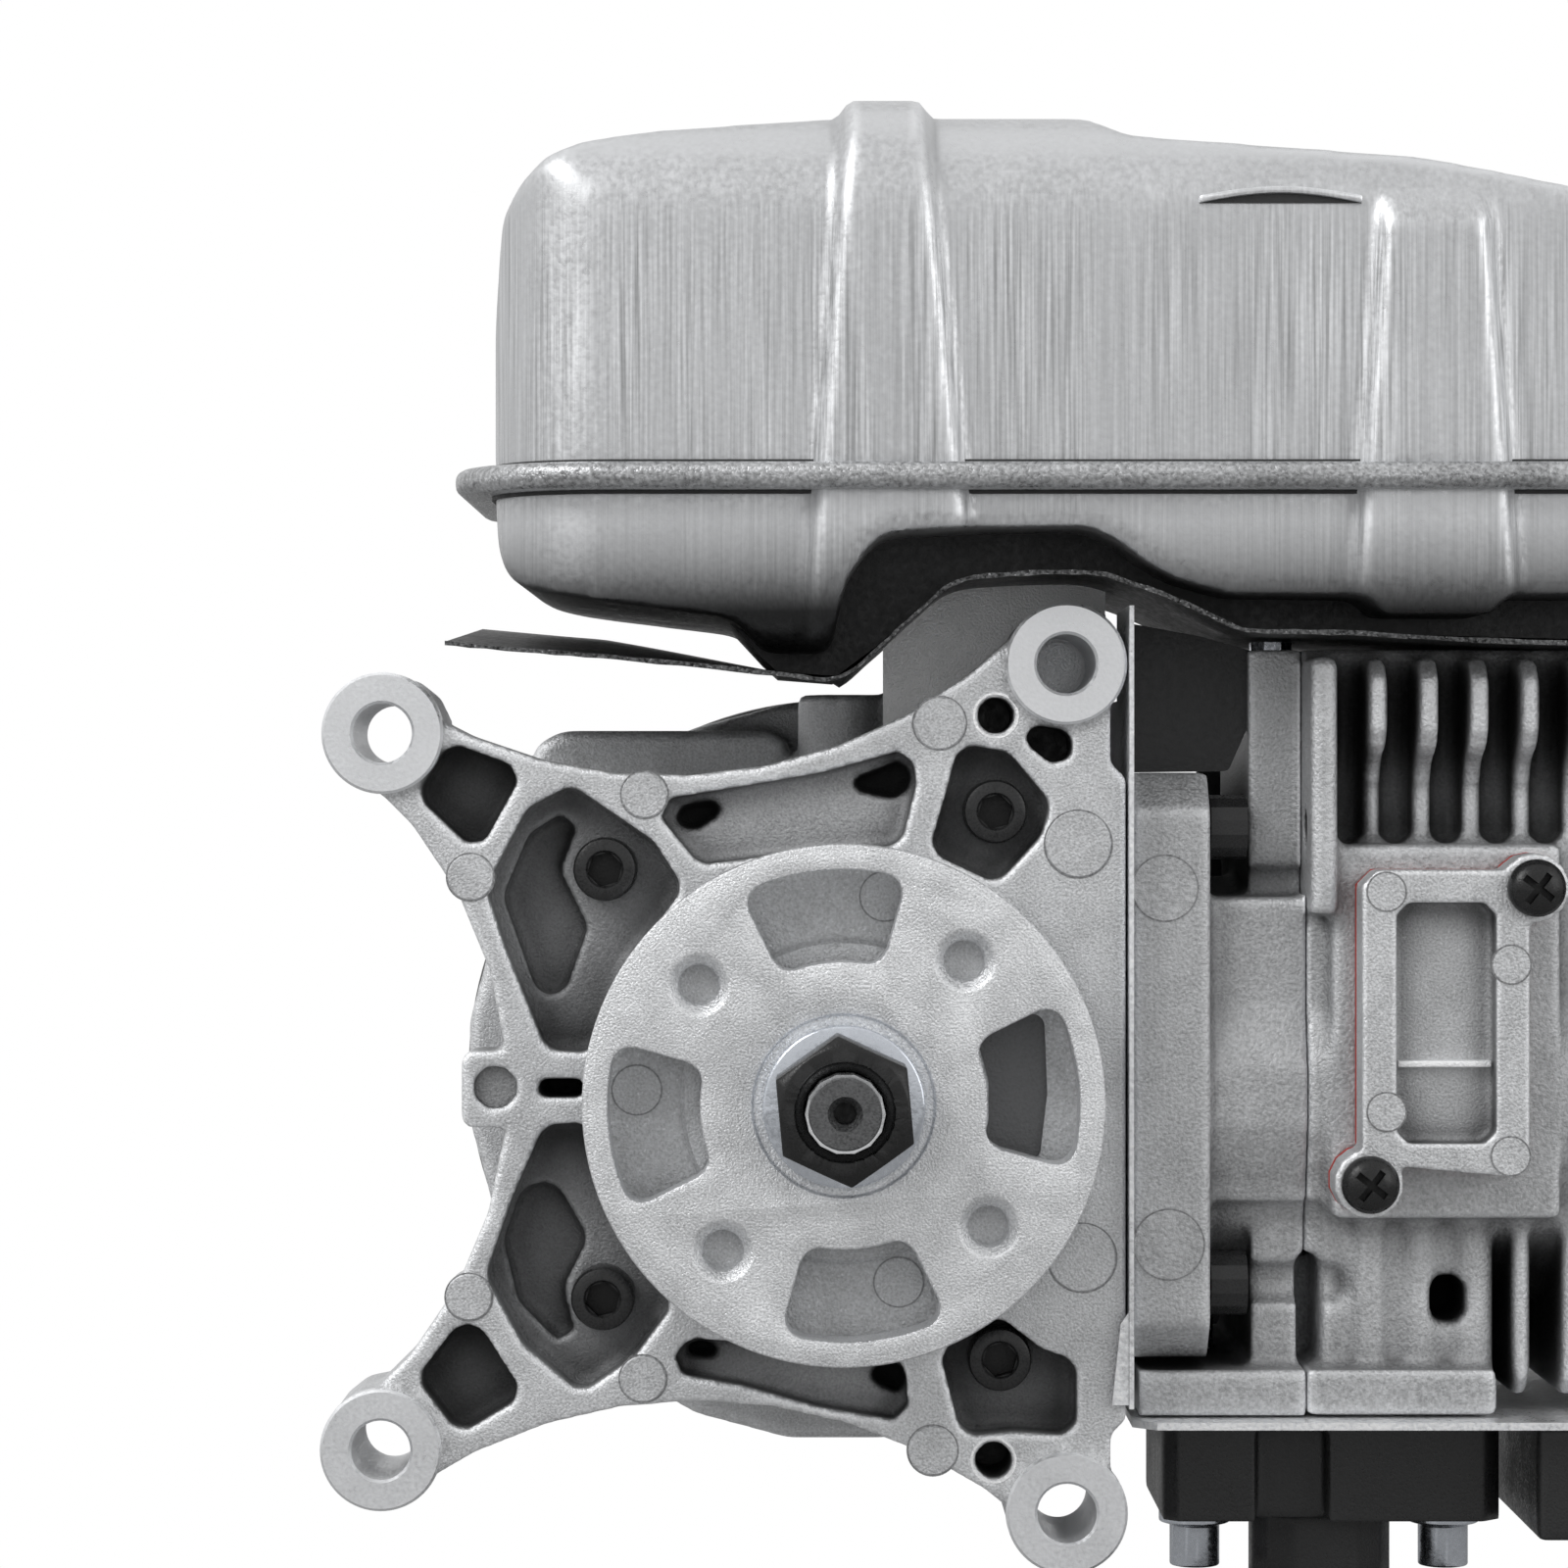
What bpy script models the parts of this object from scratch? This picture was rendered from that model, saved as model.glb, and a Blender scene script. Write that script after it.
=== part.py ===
"""Small two-stroke engine with its cylinder lying to the right, its silencer on top and its
carburettor below, as an assembly of separate pieces at rest with the piston at its highest point.

Frame: metres, +Z up. The origin is on the crank's axis, in the plane of the four mounting pads.
The crank lies along Y with the drive end towards -Y, and the cylinder lies along +X.
All sizes below are in millimetres, and finish() writes each mesh in metres.
"""

import math

import bmesh
import bpy
from mathutils import Matrix, Vector

# ---------------------------------------------------------------- clearances
GAP = 0.3  # between two pieces that touch on the real engine
MM = 0.001
FINE = 24  # sides of large round shapes
ROUND = 14  # sides of middling round shapes
SMALL = 8  # sides of holes and screws

# ---------------------------------------------------------------- crank train
SPLIT_Y = 34.0  # plane between the case halves, which holds the cylinder's axis
THROW = 17.5
ROD_LENGTH = 62.0
BORE_R = 24.0
WEB_R = 27.0
WEB_T = 11.0
WEB_SPACE = 13.0  # between the webs, for the rod
WEB_SIDE_PLAY = 1.0
MAIN_R = 8.5  # shaft in the bearings
DRIVE_R = 7.0  # shaft in the drive flange
THREAD_R = 5.0
CRANKPIN_R = 6.5
BIG_END_R = CRANKPIN_R + 3.5
WRIST_R = 5.3
SMALL_END_R = WRIST_R + 2.7
ROD_SHANK = 7.0
PISTON_PLAY = 0.4  # between piston and bore
PISTON_R = BORE_R - PISTON_PLAY
PISTON_CROWN = 22.0  # pin axis to crown
PISTON_SKIRT = 15.0  # pin axis to skirt's end
PISTON_WALL = 3.2
RING_T = 2.0
RING_DEPTH = 2.2
BEARING_R = MAIN_R + 11.5
BEARING_T = 12.0
SEAL_R = MAIN_R + 6.5
SEAL_T = 7.0

# ---------------------------------------------------------------- case halves
CHAMBER_R = WEB_R + 1.5
CASE_WALL = 5.5
CASE_END_X = 36.8
CASE_PLATE_FRONT = 1.0  # front of the ribs, just behind the pads
CASE_PLATE_BACK = 13.0
SPLIT_HALF = 0.6  # half the space between the halves, which holds the gasket
CASE_BLOCK_TOP = BORE_R + 18.0
CASE_BLOCK_BOTTOM = -BORE_R - 9.0
HUB_R = SEAL_R + 4.0
PAD_R = 7.8
PAD_BORE_R = 4.0
PAD_LENGTH = 22.0
ARMS = {"a": (-59.7, 47.5), "b": (-59.9, -45.5), "c": (29.1, -53.7), "d": (29.0, 56.5)}
EDGE_TOP = ((-22.9, 107.6), 65.6)  # centre and radius of the hollow between two arms
EDGE_LEFT = ((-97.5, 1.3), 53.9)
EDGE_BOTTOM = ((-18.8, -105.5), 66.3)
ARM_EDGE_X = 34.8
SHOULDER_Z = 43.7
EAR_X = -49.5
EAR_LOW, EAR_HIGH = -3.7, 6.2
EAR_HOLE = (-45.1, 1.5)
POCKET_FLOOR = 7.0
DEEP_FLOOR = 10.0
SHALLOW_FLOOR = 5.0
CORNER_R = 1.6
CASE_SCREWS = ((-30.9, 29.8), (-31.2, -26.1), (19.9, 37.3), (20.5, -34.0))
SCREW_R = 2.5
SCREW_HEAD_R = 4.25
SCREW_HEAD_T = 4.8
SCREW_BOSS_R = 6.0
SCREW_GRIP = 12.0  # length of thread in the far piece
HEX_KEY_R = 2.3
REAR_PLATE_T = 4.0
POST_R = 6.3
POST_TOP = 53.2
POST_X = 0.5
WEB_TOP = 64.8
WEB_WALL_T = 6.0

# ---------------------------------------------------------------- cylinder
SHEET_X = CASE_END_X + GAP
SHEET_T = 0.6
CYL_BASE_X = SHEET_X + SHEET_T + GAP
FLANGE_T = 10.1
BARREL_WALL = 4.5
BARREL_R = BORE_R + BARREL_WALL
BASE_SCREW_Y = (SPLIT_Y - BARREL_R + 5.0, SPLIT_Y + BARREL_R - 5.0)
BASE_SCREW_Z = (BARREL_R + 6.7, 3.6 - BARREL_R)
FLANGE_FRONT_Y = BASE_SCREW_Y[0] - 6.5
FLANGE_BACK_Y = BASE_SCREW_Y[1] + 6.5
FLANGE_TOP = BASE_SCREW_Z[0] + 7.2
FLANGE_BOTTOM = BASE_SCREW_Z[1] - 9.6
SPIGOT_R = BORE_R + 2.6
SPIGOT_X = 30.0
CROWN_SPACE = 4.0  # over the piston at its highest point
HEAD_T = 11.5
BORE_END_X = THROW + ROD_LENGTH + PISTON_CROWN + CROWN_SPACE
HEAD_END_X = BORE_END_X + HEAD_T
PLUG_BOSS_R = 11.0
PLUG_BOSS_T = 4.0
PLUG_R = 7.0
FIN_COUNT = 7
FIN_T = 2.5
FIN_PITCH = 6.6
FIRST_FIN_X = 62.7
FIRST_FIN_T = 3.6
SECOND_FIN_X = 69.8
FIN_TOP = 57.5
FIN_KINK = 43.0
FIN_BOTTOM = -40.0
FIN_FRONT_HIGH = 2.0
FIN_FRONT_LOW = 10.0
FIN_BACK = 66.0
PORT_X = 65.6  # intake port and carburettor
PORT_R = 9.0
INTAKE_FACE = -42.0
EXHAUST_X = 82.0
EXHAUST_R = 11.0
EXHAUST_FACE = 58.7
BASE_SCREW_END = 26.0
BLOCK_X = CYL_BASE_X + FLANGE_T + SCREW_HEAD_T + 1.1  # blocks on the barrel, clear of the screws' heads

# blocks and recesses on the barrel's front and sides; pairs are places along Y and Z
SLAB_FRONT, SLAB_BACK, SLAB_T = 7.0, 60.0, 6.0
INTAKE_BLOCK_END = 86.0
INTAKE_BLOCK_LOW, INTAKE_BLOCK_HIGH = (11.0, INTAKE_FACE + 1.0), (56.0, -12.0)
EXHAUST_NECK_END = 61.0
EXHAUST_NECK_LOW, EXHAUST_NECK_HIGH = (15.0, 20.0), (53.0, EXHAUST_FACE)
EXHAUST_BLOCK_HALF = 29.0
EXHAUST_BLOCK_LOW, EXHAUST_BLOCK_HIGH = (14.0, 30.0), (54.0, EXHAUST_FACE)
PASSAGE_LOW, PASSAGE_END, PASSAGE_TOP = (8.0, -14.0), 67.0, 26.0
CYLINDER_RECESSES = (
    ((60.0, 0.0, -36.0), (63.2, 24.0, -21.0)),
    ((77.6, 0.0, -30.0), (82.2, 24.0, -24.0)),
    ((71.0, 0.0, -6.0), (84.0, 9.0, 24.0)),
)

# ---------------------------------------------------------------- transfer cover
COVER_SEAT_Y = SPLIT_Y - BARREL_R - GAP
COVER_SEAT_LOW, COVER_SEAT_TOP, COVER_SEAT_END = -16.0, 33.0, 94.0
COVER_GASKET_T = 0.6
COVER_T = 8.2  # from its face to the seat
COVER_FACE_Y = COVER_SEAT_Y - COVER_T
COVER_LEFT, COVER_RIGHT = 67.0, 88.6
COVER_LOW, COVER_HIGH = -8.0, 29.8
COVER_SCREWS = ((89.3, 27.5), (67.9, -10.7))
COVER_BOSS_R = 4.5
COVER_SCREW_R = 2.0
COVER_HEAD_R = 3.7
COVER_HEAD_T = 2.8
COVER_THREAD_END = SPLIT_Y - BORE_R + 0.5
COVER_POCKET_DEPTH = 4.0

# ---------------------------------------------------------------- silencer and heat shield
SHELL_LEFT, SHELL_RIGHT = -45.5, 124.0
SHELL_FRONT, SHELL_BACK = -8.0, 76.0
SHELL_CORNER = 16.0
SHELL_WALL = 1.6
SEAM_Z = 80.2
SEAM_LIP = 5.2
SEAM_T = 1.5
SHELL_TOP = 127.5
SHELL_BOTTOM = EXHAUST_FACE + 6.3
SHELL_ARCH = 73.5
INLET_HALF_X, INLET_HALF_Y = 14.0, 12.0
SHIELD_T = 1.0
SHIELD_Z = EXHAUST_FACE + GAP
SHIELD_FRONT, SHIELD_BACK = -5.0, 70.0
SHIELD_LEFT, SHIELD_RIGHT = -51.2, 118.0
MUFFLER_BOLT_R = 3.0
MUFFLER_BOLT_X = EXHAUST_X - 23.0, EXHAUST_X + 23.0

# ---------------------------------------------------------------- intake side
PLATE_T = 1.0
PLATE_LEFT, PLATE_RIGHT = 38.0, 112.0
PLATE_FRONT, PLATE_BACK = 3.0, 62.0
INSULATOR_HALF_X, INSULATOR_HALF_Y = 22.6, 16.0
INSULATOR_T = 14.0
TUBE_R = 9.7
TUBE_BORE_R = 7.5
TUBE_LENGTH = 15.0
CARB_FLANGE_T = 4.0
CARB_FLANGE_HALF_X, CARB_FLANGE_HALF_Y = 21.0, 12.0
INTAKE_BOLT_SPACING = 34.0
INTAKE_BOLT_R = 2.5
INTAKE_HEAD_R = 5.0
INTAKE_HEAD_T = 8.0
CARB_HALF_X, CARB_HALF_Y = 17.0, 18.0
CARB_HEIGHT = 32.0
CARB_BORE_R = 9.0
THROTTLE_SHAFT_R = 3.0
THROTTLE_DROP = 11.0
THROTTLE_LEVER = 18.0
THROTTLE_PLATE_T = 1.0
CHOKE_DROP = 22.0
CHOKE_R = 2.5
CHOKE_LEVER = 22.0
FILTER_HALF_X, FILTER_HALF_Y = 38.0, 36.0
FILTER_BASE_T = 4.0
FILTER_COVER_H = 34.0
FILTER_WALL = 2.2

# ---------------------------------------------------------------- drive flange and nut
DISC_R = 33.3
DISC_T = 7.0
DISC_FRONT = -12.0
SHAFT_END = -27.0
TAPPED_R = 2.55
TAPPED_CIRCLE = 24.0
TAPPED_CHAMFER = 3.9
DISC_TURN = 5.2  # degrees that the pattern is turned from the axes
SLOT_INNER, SLOT_OUTER, SLOT_HALF = 18.3, 30.0, 21.0
NUT_FLANGE_R, NUT_FLANGE_T = 11.5, 1.8
NUT_CORNER_R, NUT_T = 10.0, 8.0
NUT_COLLAR_R, NUT_COLLAR_T = 7.0, 1.8

# ---------------------------------------------------------------- flywheel and starter
FLYWHEEL_R = 44.0
FLYWHEEL_Y = 76.0
FLYWHEEL_T = 20.0
BLADE_COUNT = 12
COIL_GAP = 0.5
HOUSING_R = FLYWHEEL_R + 9.0
HOUSING_WALL = 2.5
HOUSING_SHOULDER = 108.0
HOUSING_FACE_R = 33.0
HOUSING_END = 132.0
LUG_ANGLES = (135.0, 225.0, 304.0)
LUG_R = 5.5
LUG_CIRCLE = HOUSING_R + 4.2
LUG_T = 7.0
ROPE_R = 1.75
ROPE_COIL_R = 24.0
PULLEY_R = ROPE_COIL_R + 4.0
PULLEY_Y = 106.0
PULLEY_T = 9.0
SPRING_R = 24.0
SPRING_T = 6.0
STARTER_POST_R = 5.0
HANDLE_X = HOUSING_R + 5.0
HANDLE_HALF = 24.0
HANDLE_R = 7.5
VENT_COUNT = 10
VENT_INNER = 14.0
VENT_OUTER = 27.0
VENT_HALF_ANGLE = 9.0

# ---------------------------------------------------------------- shroud
SHROUD_BACK = FIN_BACK + 2.0
SHROUD_WALL = 2.4
SHROUD_END = HEAD_END_X + 4.5
SHROUD_LEFT = 52.0

GREY = (0.55, 0.56, 0.57)
COLOURS = {
    "cast": (GREY, 0.45, 0.9),
    "machined": ((0.75, 0.75, 0.76), 0.25, 1.0),
    "steel": ((0.55, 0.55, 0.57), 0.3, 1.0),
    "drawn": ((0.66, 0.66, 0.67), 0.3, 1.0),
    "black_oxide": ((0.02, 0.02, 0.022), 0.4, 0.6),
    "scorched": ((0.06, 0.06, 0.062), 0.55, 0.8),
    "zinc": ((0.7, 0.71, 0.74), 0.2, 1.0),
    "black_plastic": ((0.02, 0.02, 0.021), 0.5, 0.0),
    "gasket": ((0.35, 0.05, 0.04), 0.8, 0.0),
    "paper": ((0.16, 0.15, 0.14), 0.9, 0.0),
    "rubber": ((0.03, 0.03, 0.03), 0.7, 0.0),
    "foam": ((0.10, 0.10, 0.11), 1.0, 0.0),
    "ceramic": ((0.9, 0.89, 0.86), 0.2, 0.0),
    "rope": ((0.8, 0.79, 0.75), 0.9, 0.0),
}
AXES = {"X": Vector((1, 0, 0)), "Y": Vector((0, 1, 0)), "Z": Vector((0, 0, 1))}


# ---------------------------------------------------------------- outlines
def arc(centre, radius, start, end, steps):
    """Points of an arc, from angle start to angle end in degrees."""
    turn = (end - start) / steps
    angles = [math.radians(start + turn * i) for i in range(steps + 1)]
    return [(centre[0] + radius * math.cos(a), centre[1] + radius * math.sin(a)) for a in angles]


def arc_between(circle, first, last, steps):
    """Points of a circle's shorter arc, between the directions of two other points."""
    centre, radius = circle
    start = math.degrees(math.atan2(first[1] - centre[1], first[0] - centre[0]))
    end = math.degrees(math.atan2(last[1] - centre[1], last[0] - centre[0]))
    turn = (end - start + 180.0) % 360.0 - 180.0
    return arc(centre, radius, start, start + turn, steps)


def rounded(corners, radius, steps=1):
    """An outline with each corner turned into an arc, as far as its sides allow."""
    outline = []
    for index, corner in enumerate(corners):
        here = Vector(corner)
        before = Vector(corners[index - 1]) - here
        after = Vector(corners[(index + 1) % len(corners)]) - here
        half = before.angle(after) / 2.0
        run = min(radius / math.tan(half), before.length * 0.45, after.length * 0.45)
        reach = run * math.tan(half)
        middle = here + (before.normalized() + after.normalized()).normalized() * reach / math.sin(half)
        first = here + before.normalized() * run
        last = here + after.normalized() * run
        outline += arc_between((tuple(middle), reach), tuple(first), tuple(last), steps)
    return outline


def rectangle(low, high):
    return [(low[0], low[1]), (high[0], low[1]), (high[0], high[1]), (low[0], high[1])]


def slot_sector(inner, outer, middle, half_angle, steps=6):
    """A kidney-shaped outline about the origin."""
    far = arc((0, 0), outer, middle - half_angle, middle + half_angle, steps)
    near = arc((0, 0), inner, middle + half_angle, middle - half_angle, steps)
    return far + near


# ---------------------------------------------------------------- solids
def across(point, axis, along):
    """A point of an outline across the axis, at a place along it."""
    u, v = point
    return {"X": (along, u, v), "Y": (u, along, v), "Z": (u, v, along)}[axis]


def prism(outline, axis, start, end):
    """An outline swept along an axis. Across X it is (y, z), across Y (x, z), across Z (x, y)."""
    bm = bmesh.new()
    face = bm.faces.new([bm.verts.new(across(p, axis, start)) for p in outline])
    swept = bmesh.ops.extrude_face_region(bm, geom=[face])
    moved = [v for v in swept["geom"] if isinstance(v, bmesh.types.BMVert)]
    bmesh.ops.translate(bm, verts=moved, vec=AXES[axis] * (end - start))
    bmesh.ops.recalc_face_normals(bm, faces=bm.faces)
    return bm


def box(low, high):
    return prism(rectangle(low[:2], high[:2]), "Z", low[2], high[2])


def rod(axis, centre, radius, start, end, steps=SMALL):
    """A round bar. Its centre is given across the axis."""
    turn = 180.0 / steps
    return prism(arc(centre, radius, turn, 360.0 - turn, steps - 1), axis, start, end)


def hole(axis, centre, radius, start, end, steps=SMALL):
    """A round cutter whose flats lie at its radius, so that it clears a bar with any facets."""
    return rod(axis, centre, radius / math.cos(math.pi / steps), start, end, steps)


def turned(profile, axis, centre, steps=ROUND):
    """A solid of revolution from (radius, place along the axis) points."""
    bm = bmesh.new()
    verts = [bm.verts.new((r, 0, h)) for r, h in profile]
    solid_core = profile[0][0] == 0 and profile[-1][0] == 0
    nexts = verts[1:] if solid_core else verts[1:] + verts[:1]
    edges = [bm.edges.new(pair) for pair in zip(verts, nexts)]
    bmesh.ops.spin(
        bm, geom=verts + edges, cent=(0, 0, 0), axis=(0, 0, 1), angle=math.tau, steps=steps, use_merge=True
    )
    bmesh.ops.remove_doubles(bm, verts=bm.verts, dist=1e-4)
    bmesh.ops.recalc_face_normals(bm, faces=bm.faces)
    turn = AXES["Z"].rotation_difference(AXES[axis]).to_matrix().to_4x4()
    place = Matrix.Translation(across(centre, axis, 0.0))
    bmesh.ops.transform(bm, matrix=place @ turn, verts=bm.verts)
    return bm


def ring(axis, centre, inner, outer, start, end, steps=ROUND):
    profile = [(inner, start), (outer, start), (outer, end), (inner, end)]
    return turned(profile, axis, centre, steps)


def hexagon(centre, corner_r):
    return arc(centre, corner_r, 90.0, 390.0, 5)


# ---------------------------------------------------------------- joining and cutting
def as_object(bm, collection):
    mesh = bpy.data.meshes.new("piece")
    bm.to_mesh(mesh)
    bm.free()
    obj = bpy.data.objects.new("piece", mesh)
    collection.objects.link(obj)
    return obj


def boolean(base, others, operation):
    """One bmesh from a base and others, joined to it or cut from it in one exact Boolean."""
    if not others:
        return base
    scene = bpy.context.scene.collection
    tools = bpy.data.collections.new("tools")
    scene.children.link(tools)
    body = as_object(base, scene)
    for other in others:
        as_object(other, tools)
    modifier = body.modifiers.new("shape", "BOOLEAN")
    modifier.operation = operation
    modifier.operand_type = "COLLECTION"
    modifier.collection = tools
    modifier.solver = "EXACT"
    graph = bpy.context.evaluated_depsgraph_get()
    result = bmesh.new()
    result.from_object(body, graph)
    for obj in [body, *tools.objects]:
        mesh = obj.data
        bpy.data.objects.remove(obj)
        bpy.data.meshes.remove(mesh)
    bpy.data.collections.remove(tools)
    return result


def joined(*pieces):
    return boolean(pieces[0], list(pieces[1:]), "UNION")


def cut(base, *cutters):
    return boolean(base, list(cutters), "DIFFERENCE")


def common(base, other):
    return boolean(base, [other], "INTERSECT")


# ---------------------------------------------------------------- objects
def pivot(name, place, parent=None):
    """An empty on a joint's axis, which its moving pieces hang on."""
    empty = bpy.data.objects.new(name, None)
    empty.location = Vector(place) * MM
    if parent:
        empty.parent = parent
        empty.location -= parent.matrix_world.translation
    bpy.context.scene.collection.objects.link(empty)
    bpy.context.view_layer.update()
    return empty


def material(name, finish_name):
    colour, roughness, metallic = COLOURS[finish_name]
    made = bpy.data.materials.new(name)
    made.use_nodes = True
    shader = made.node_tree.nodes["Principled BSDF"]
    shader.inputs["Base Color"].default_value = (*colour, 1.0)
    shader.inputs["Roughness"].default_value = roughness
    shader.inputs["Metallic"].default_value = metallic
    return made


def finish(name, bm, finish_name, parent=None):
    """Writes a piece as a named object in metres, on its joint's empty if it moves."""
    bmesh.ops.remove_doubles(bm, verts=bm.verts, dist=2e-4)
    bmesh.ops.dissolve_degenerate(bm, dist=1e-4, edges=bm.edges)
    home = parent.matrix_world.translation.copy() if parent else Vector((0, 0, 0))
    bmesh.ops.scale(bm, vec=(MM, MM, MM), verts=bm.verts)
    bmesh.ops.translate(bm, vec=-home, verts=bm.verts)
    mesh = bpy.data.meshes.new(name)
    bm.to_mesh(mesh)
    bm.free()
    mesh.shade_smooth()
    mesh.set_sharp_from_angle(angle=math.radians(35.0))
    obj = bpy.data.objects.new(name, mesh)
    obj.data.materials.append(material(name + "_finish", finish_name))
    obj.parent = parent
    bpy.context.scene.collection.objects.link(obj)
    return obj


# ---------------------------------------------------------------- case
def spider_outline():
    """The front plate's edge: four arms with hollow sides between them and a straight right side."""
    top = arc_between(EDGE_TOP, ARMS["a"], ARMS["d"], 9)
    bottom = arc_between(EDGE_BOTTOM, ARMS["c"], ARMS["b"], 9)
    left = arc_between(EDGE_LEFT, ARMS["b"], ARMS["a"], 9)
    upper = [ARMS["d"], (ARM_EDGE_X, ARMS["d"][1]), (ARM_EDGE_X, SHOULDER_Z), (CASE_END_X, SHOULDER_Z - 2.0)]
    lower = [(CASE_END_X, 2.0 - SHOULDER_Z), (ARM_EDGE_X, -SHOULDER_Z), (ARM_EDGE_X, ARMS["c"][1]), ARMS["c"]]
    return top + upper + lower + bottom + [ARMS["b"]] + left + [ARMS["a"]]


def pockets():
    """Recesses between the ribs of the front plate, as outlines with the place of their floors."""
    deep = (
        [(-51.2, 46.4), (-41.3, 42.8), (-47.4, 31.8), (-55.4, 39.4)],
        [(-55.4, -36.3), (-49.8, -29.0), (-46.9, -29.7), (-41.3, -38.5), (-49.8, -43.6)],
        [(15.1, 46.2), (21.6, 45.1), (27.1, 38.5), (25.9, 34.2), (20.1, 27.9), (11.2, 32.1), (13.5, 40.0)],
        [(12.6, -32.8), (20.2, -28.1), (25.9, -32.5), (30.4, -34.0), (30.4, -43.8), (22.1, -43.2),
         (15.5, -43.9)],
        [(-35.2, 40.8), (-24.5, 33.5), (-20.6, 27.4), (-28.5, 17.0), (-32.5, 5.9), (-38.5, 6.3),
         (-43.9, 19.8), (-46.4, 27.5), (-41.0, 37.8)],
        [(-33.0, -3.0), (-28.5, -16.5), (-22.0, -26.8), (-27.0, -33.5), (-34.0, -38.3), (-41.5, -32.0),
         (-46.4, -23.0), (-43.0, -13.0), (-38.8, -3.4)],
    )
    shallow = (
        [(-25.3, 38.6), (-13.0, 40.6), (-3.0, 42.3), (9.0, 45.6), (9.6, 41.0), (7.6, 33.0), (-10.0, 31.5),
         (-18.6, 30.4)],
        [(-23.2, -35.4), (-20.0, -31.0), (-10.0, -32.0), (7.8, -33.5), (8.8, -42.0), (-3.0, -40.0),
         (-13.0, -37.2)],
    )
    small = (
        [(-23.2, 37.8), (-16.3, 38.9), (-15.7, 37.3), (-20.1, 34.2)],
        [(1.1, 41.5), (8.0, 44.2), (9.0, 42.5), (8.6, 38.7), (1.9, 40.0)],
        [(-21.3, -33.5), (-19.6, -31.6), (-16.0, -32.4), (-16.3, -34.2)],
        [(1.0, -35.7), (8.0, -34.4), (8.4, -37.0), (7.8, -39.0)],
    )
    groups = ((deep, POCKET_FLOOR), (shallow, SHALLOW_FLOOR), (small, DEEP_FLOOR))
    return [(outline, floor) for outlines, floor in groups for outline in outlines]


def hollows():
    """Deeper areas in the floors of the two large left pockets, beside the case screws."""
    upper = [(-33.5, 39.0), (-37.0, 29.6), (-33.3, 22.2), (-36.6, 12.9), (-40.0, 13.6), (-44.5, 26.2),
             (-41.0, 34.5)]
    lower = [(-37.9, -11.0), (-35.9, -14.0), (-33.3, -18.6), (-36.6, -25.0), (-34.0, -35.5), (-42.4, -27.0),
             (-44.4, -19.0), (-42.0, -12.0)]
    return upper, lower


def case_block(start, end):
    """The part of a case half that carries the cylinder's base."""
    low, high = (0.0, CASE_BLOCK_BOTTOM), (CASE_END_X, CASE_BLOCK_TOP)
    return prism(rounded(rectangle(low, high), 3.0), "Y", start, end)


def screw_bosses(start, end):
    return [rod("Y", place, SCREW_BOSS_R, start, end, ROUND) for place in CASE_SCREWS]


def screw_holes(start, end):
    return [hole("Y", place, SCREW_R + GAP, start, end) for place in CASE_SCREWS]


def base_screw_holes():
    places = [(y, z) for y in BASE_SCREW_Y for z in BASE_SCREW_Z]
    return [hole("X", place, SCREW_R + GAP, BASE_SCREW_END - GAP, CASE_END_X + 30.0) for place in places]


def spigot_hole():
    return hole("X", (SPLIT_Y, 0.0), SPIGOT_R + GAP, 0.0, CASE_END_X + 5.0, FINE)


def chamber_places():
    """The crank chamber's two walls, the bearings' outer faces and the seals' outer faces, along Y."""
    half = WEB_SPACE / 2.0 + WEB_T + WEB_SIDE_PLAY
    walls = (SPLIT_Y - half, SPLIT_Y + half)
    bearings = (walls[0] - BEARING_T, walls[1] + BEARING_T)
    seals = (bearings[0] - SEAL_T, bearings[1] + SEAL_T)
    return walls, bearings, seals


def housing_start():
    """Front edge of the starter housing, on the rear case's plate."""
    return chamber_places()[1][1] + GAP


def lug_places():
    return [arc((0, 0), LUG_CIRCLE, angle, angle + 1.0, 1)[0] for angle in LUG_ANGLES]


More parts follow.
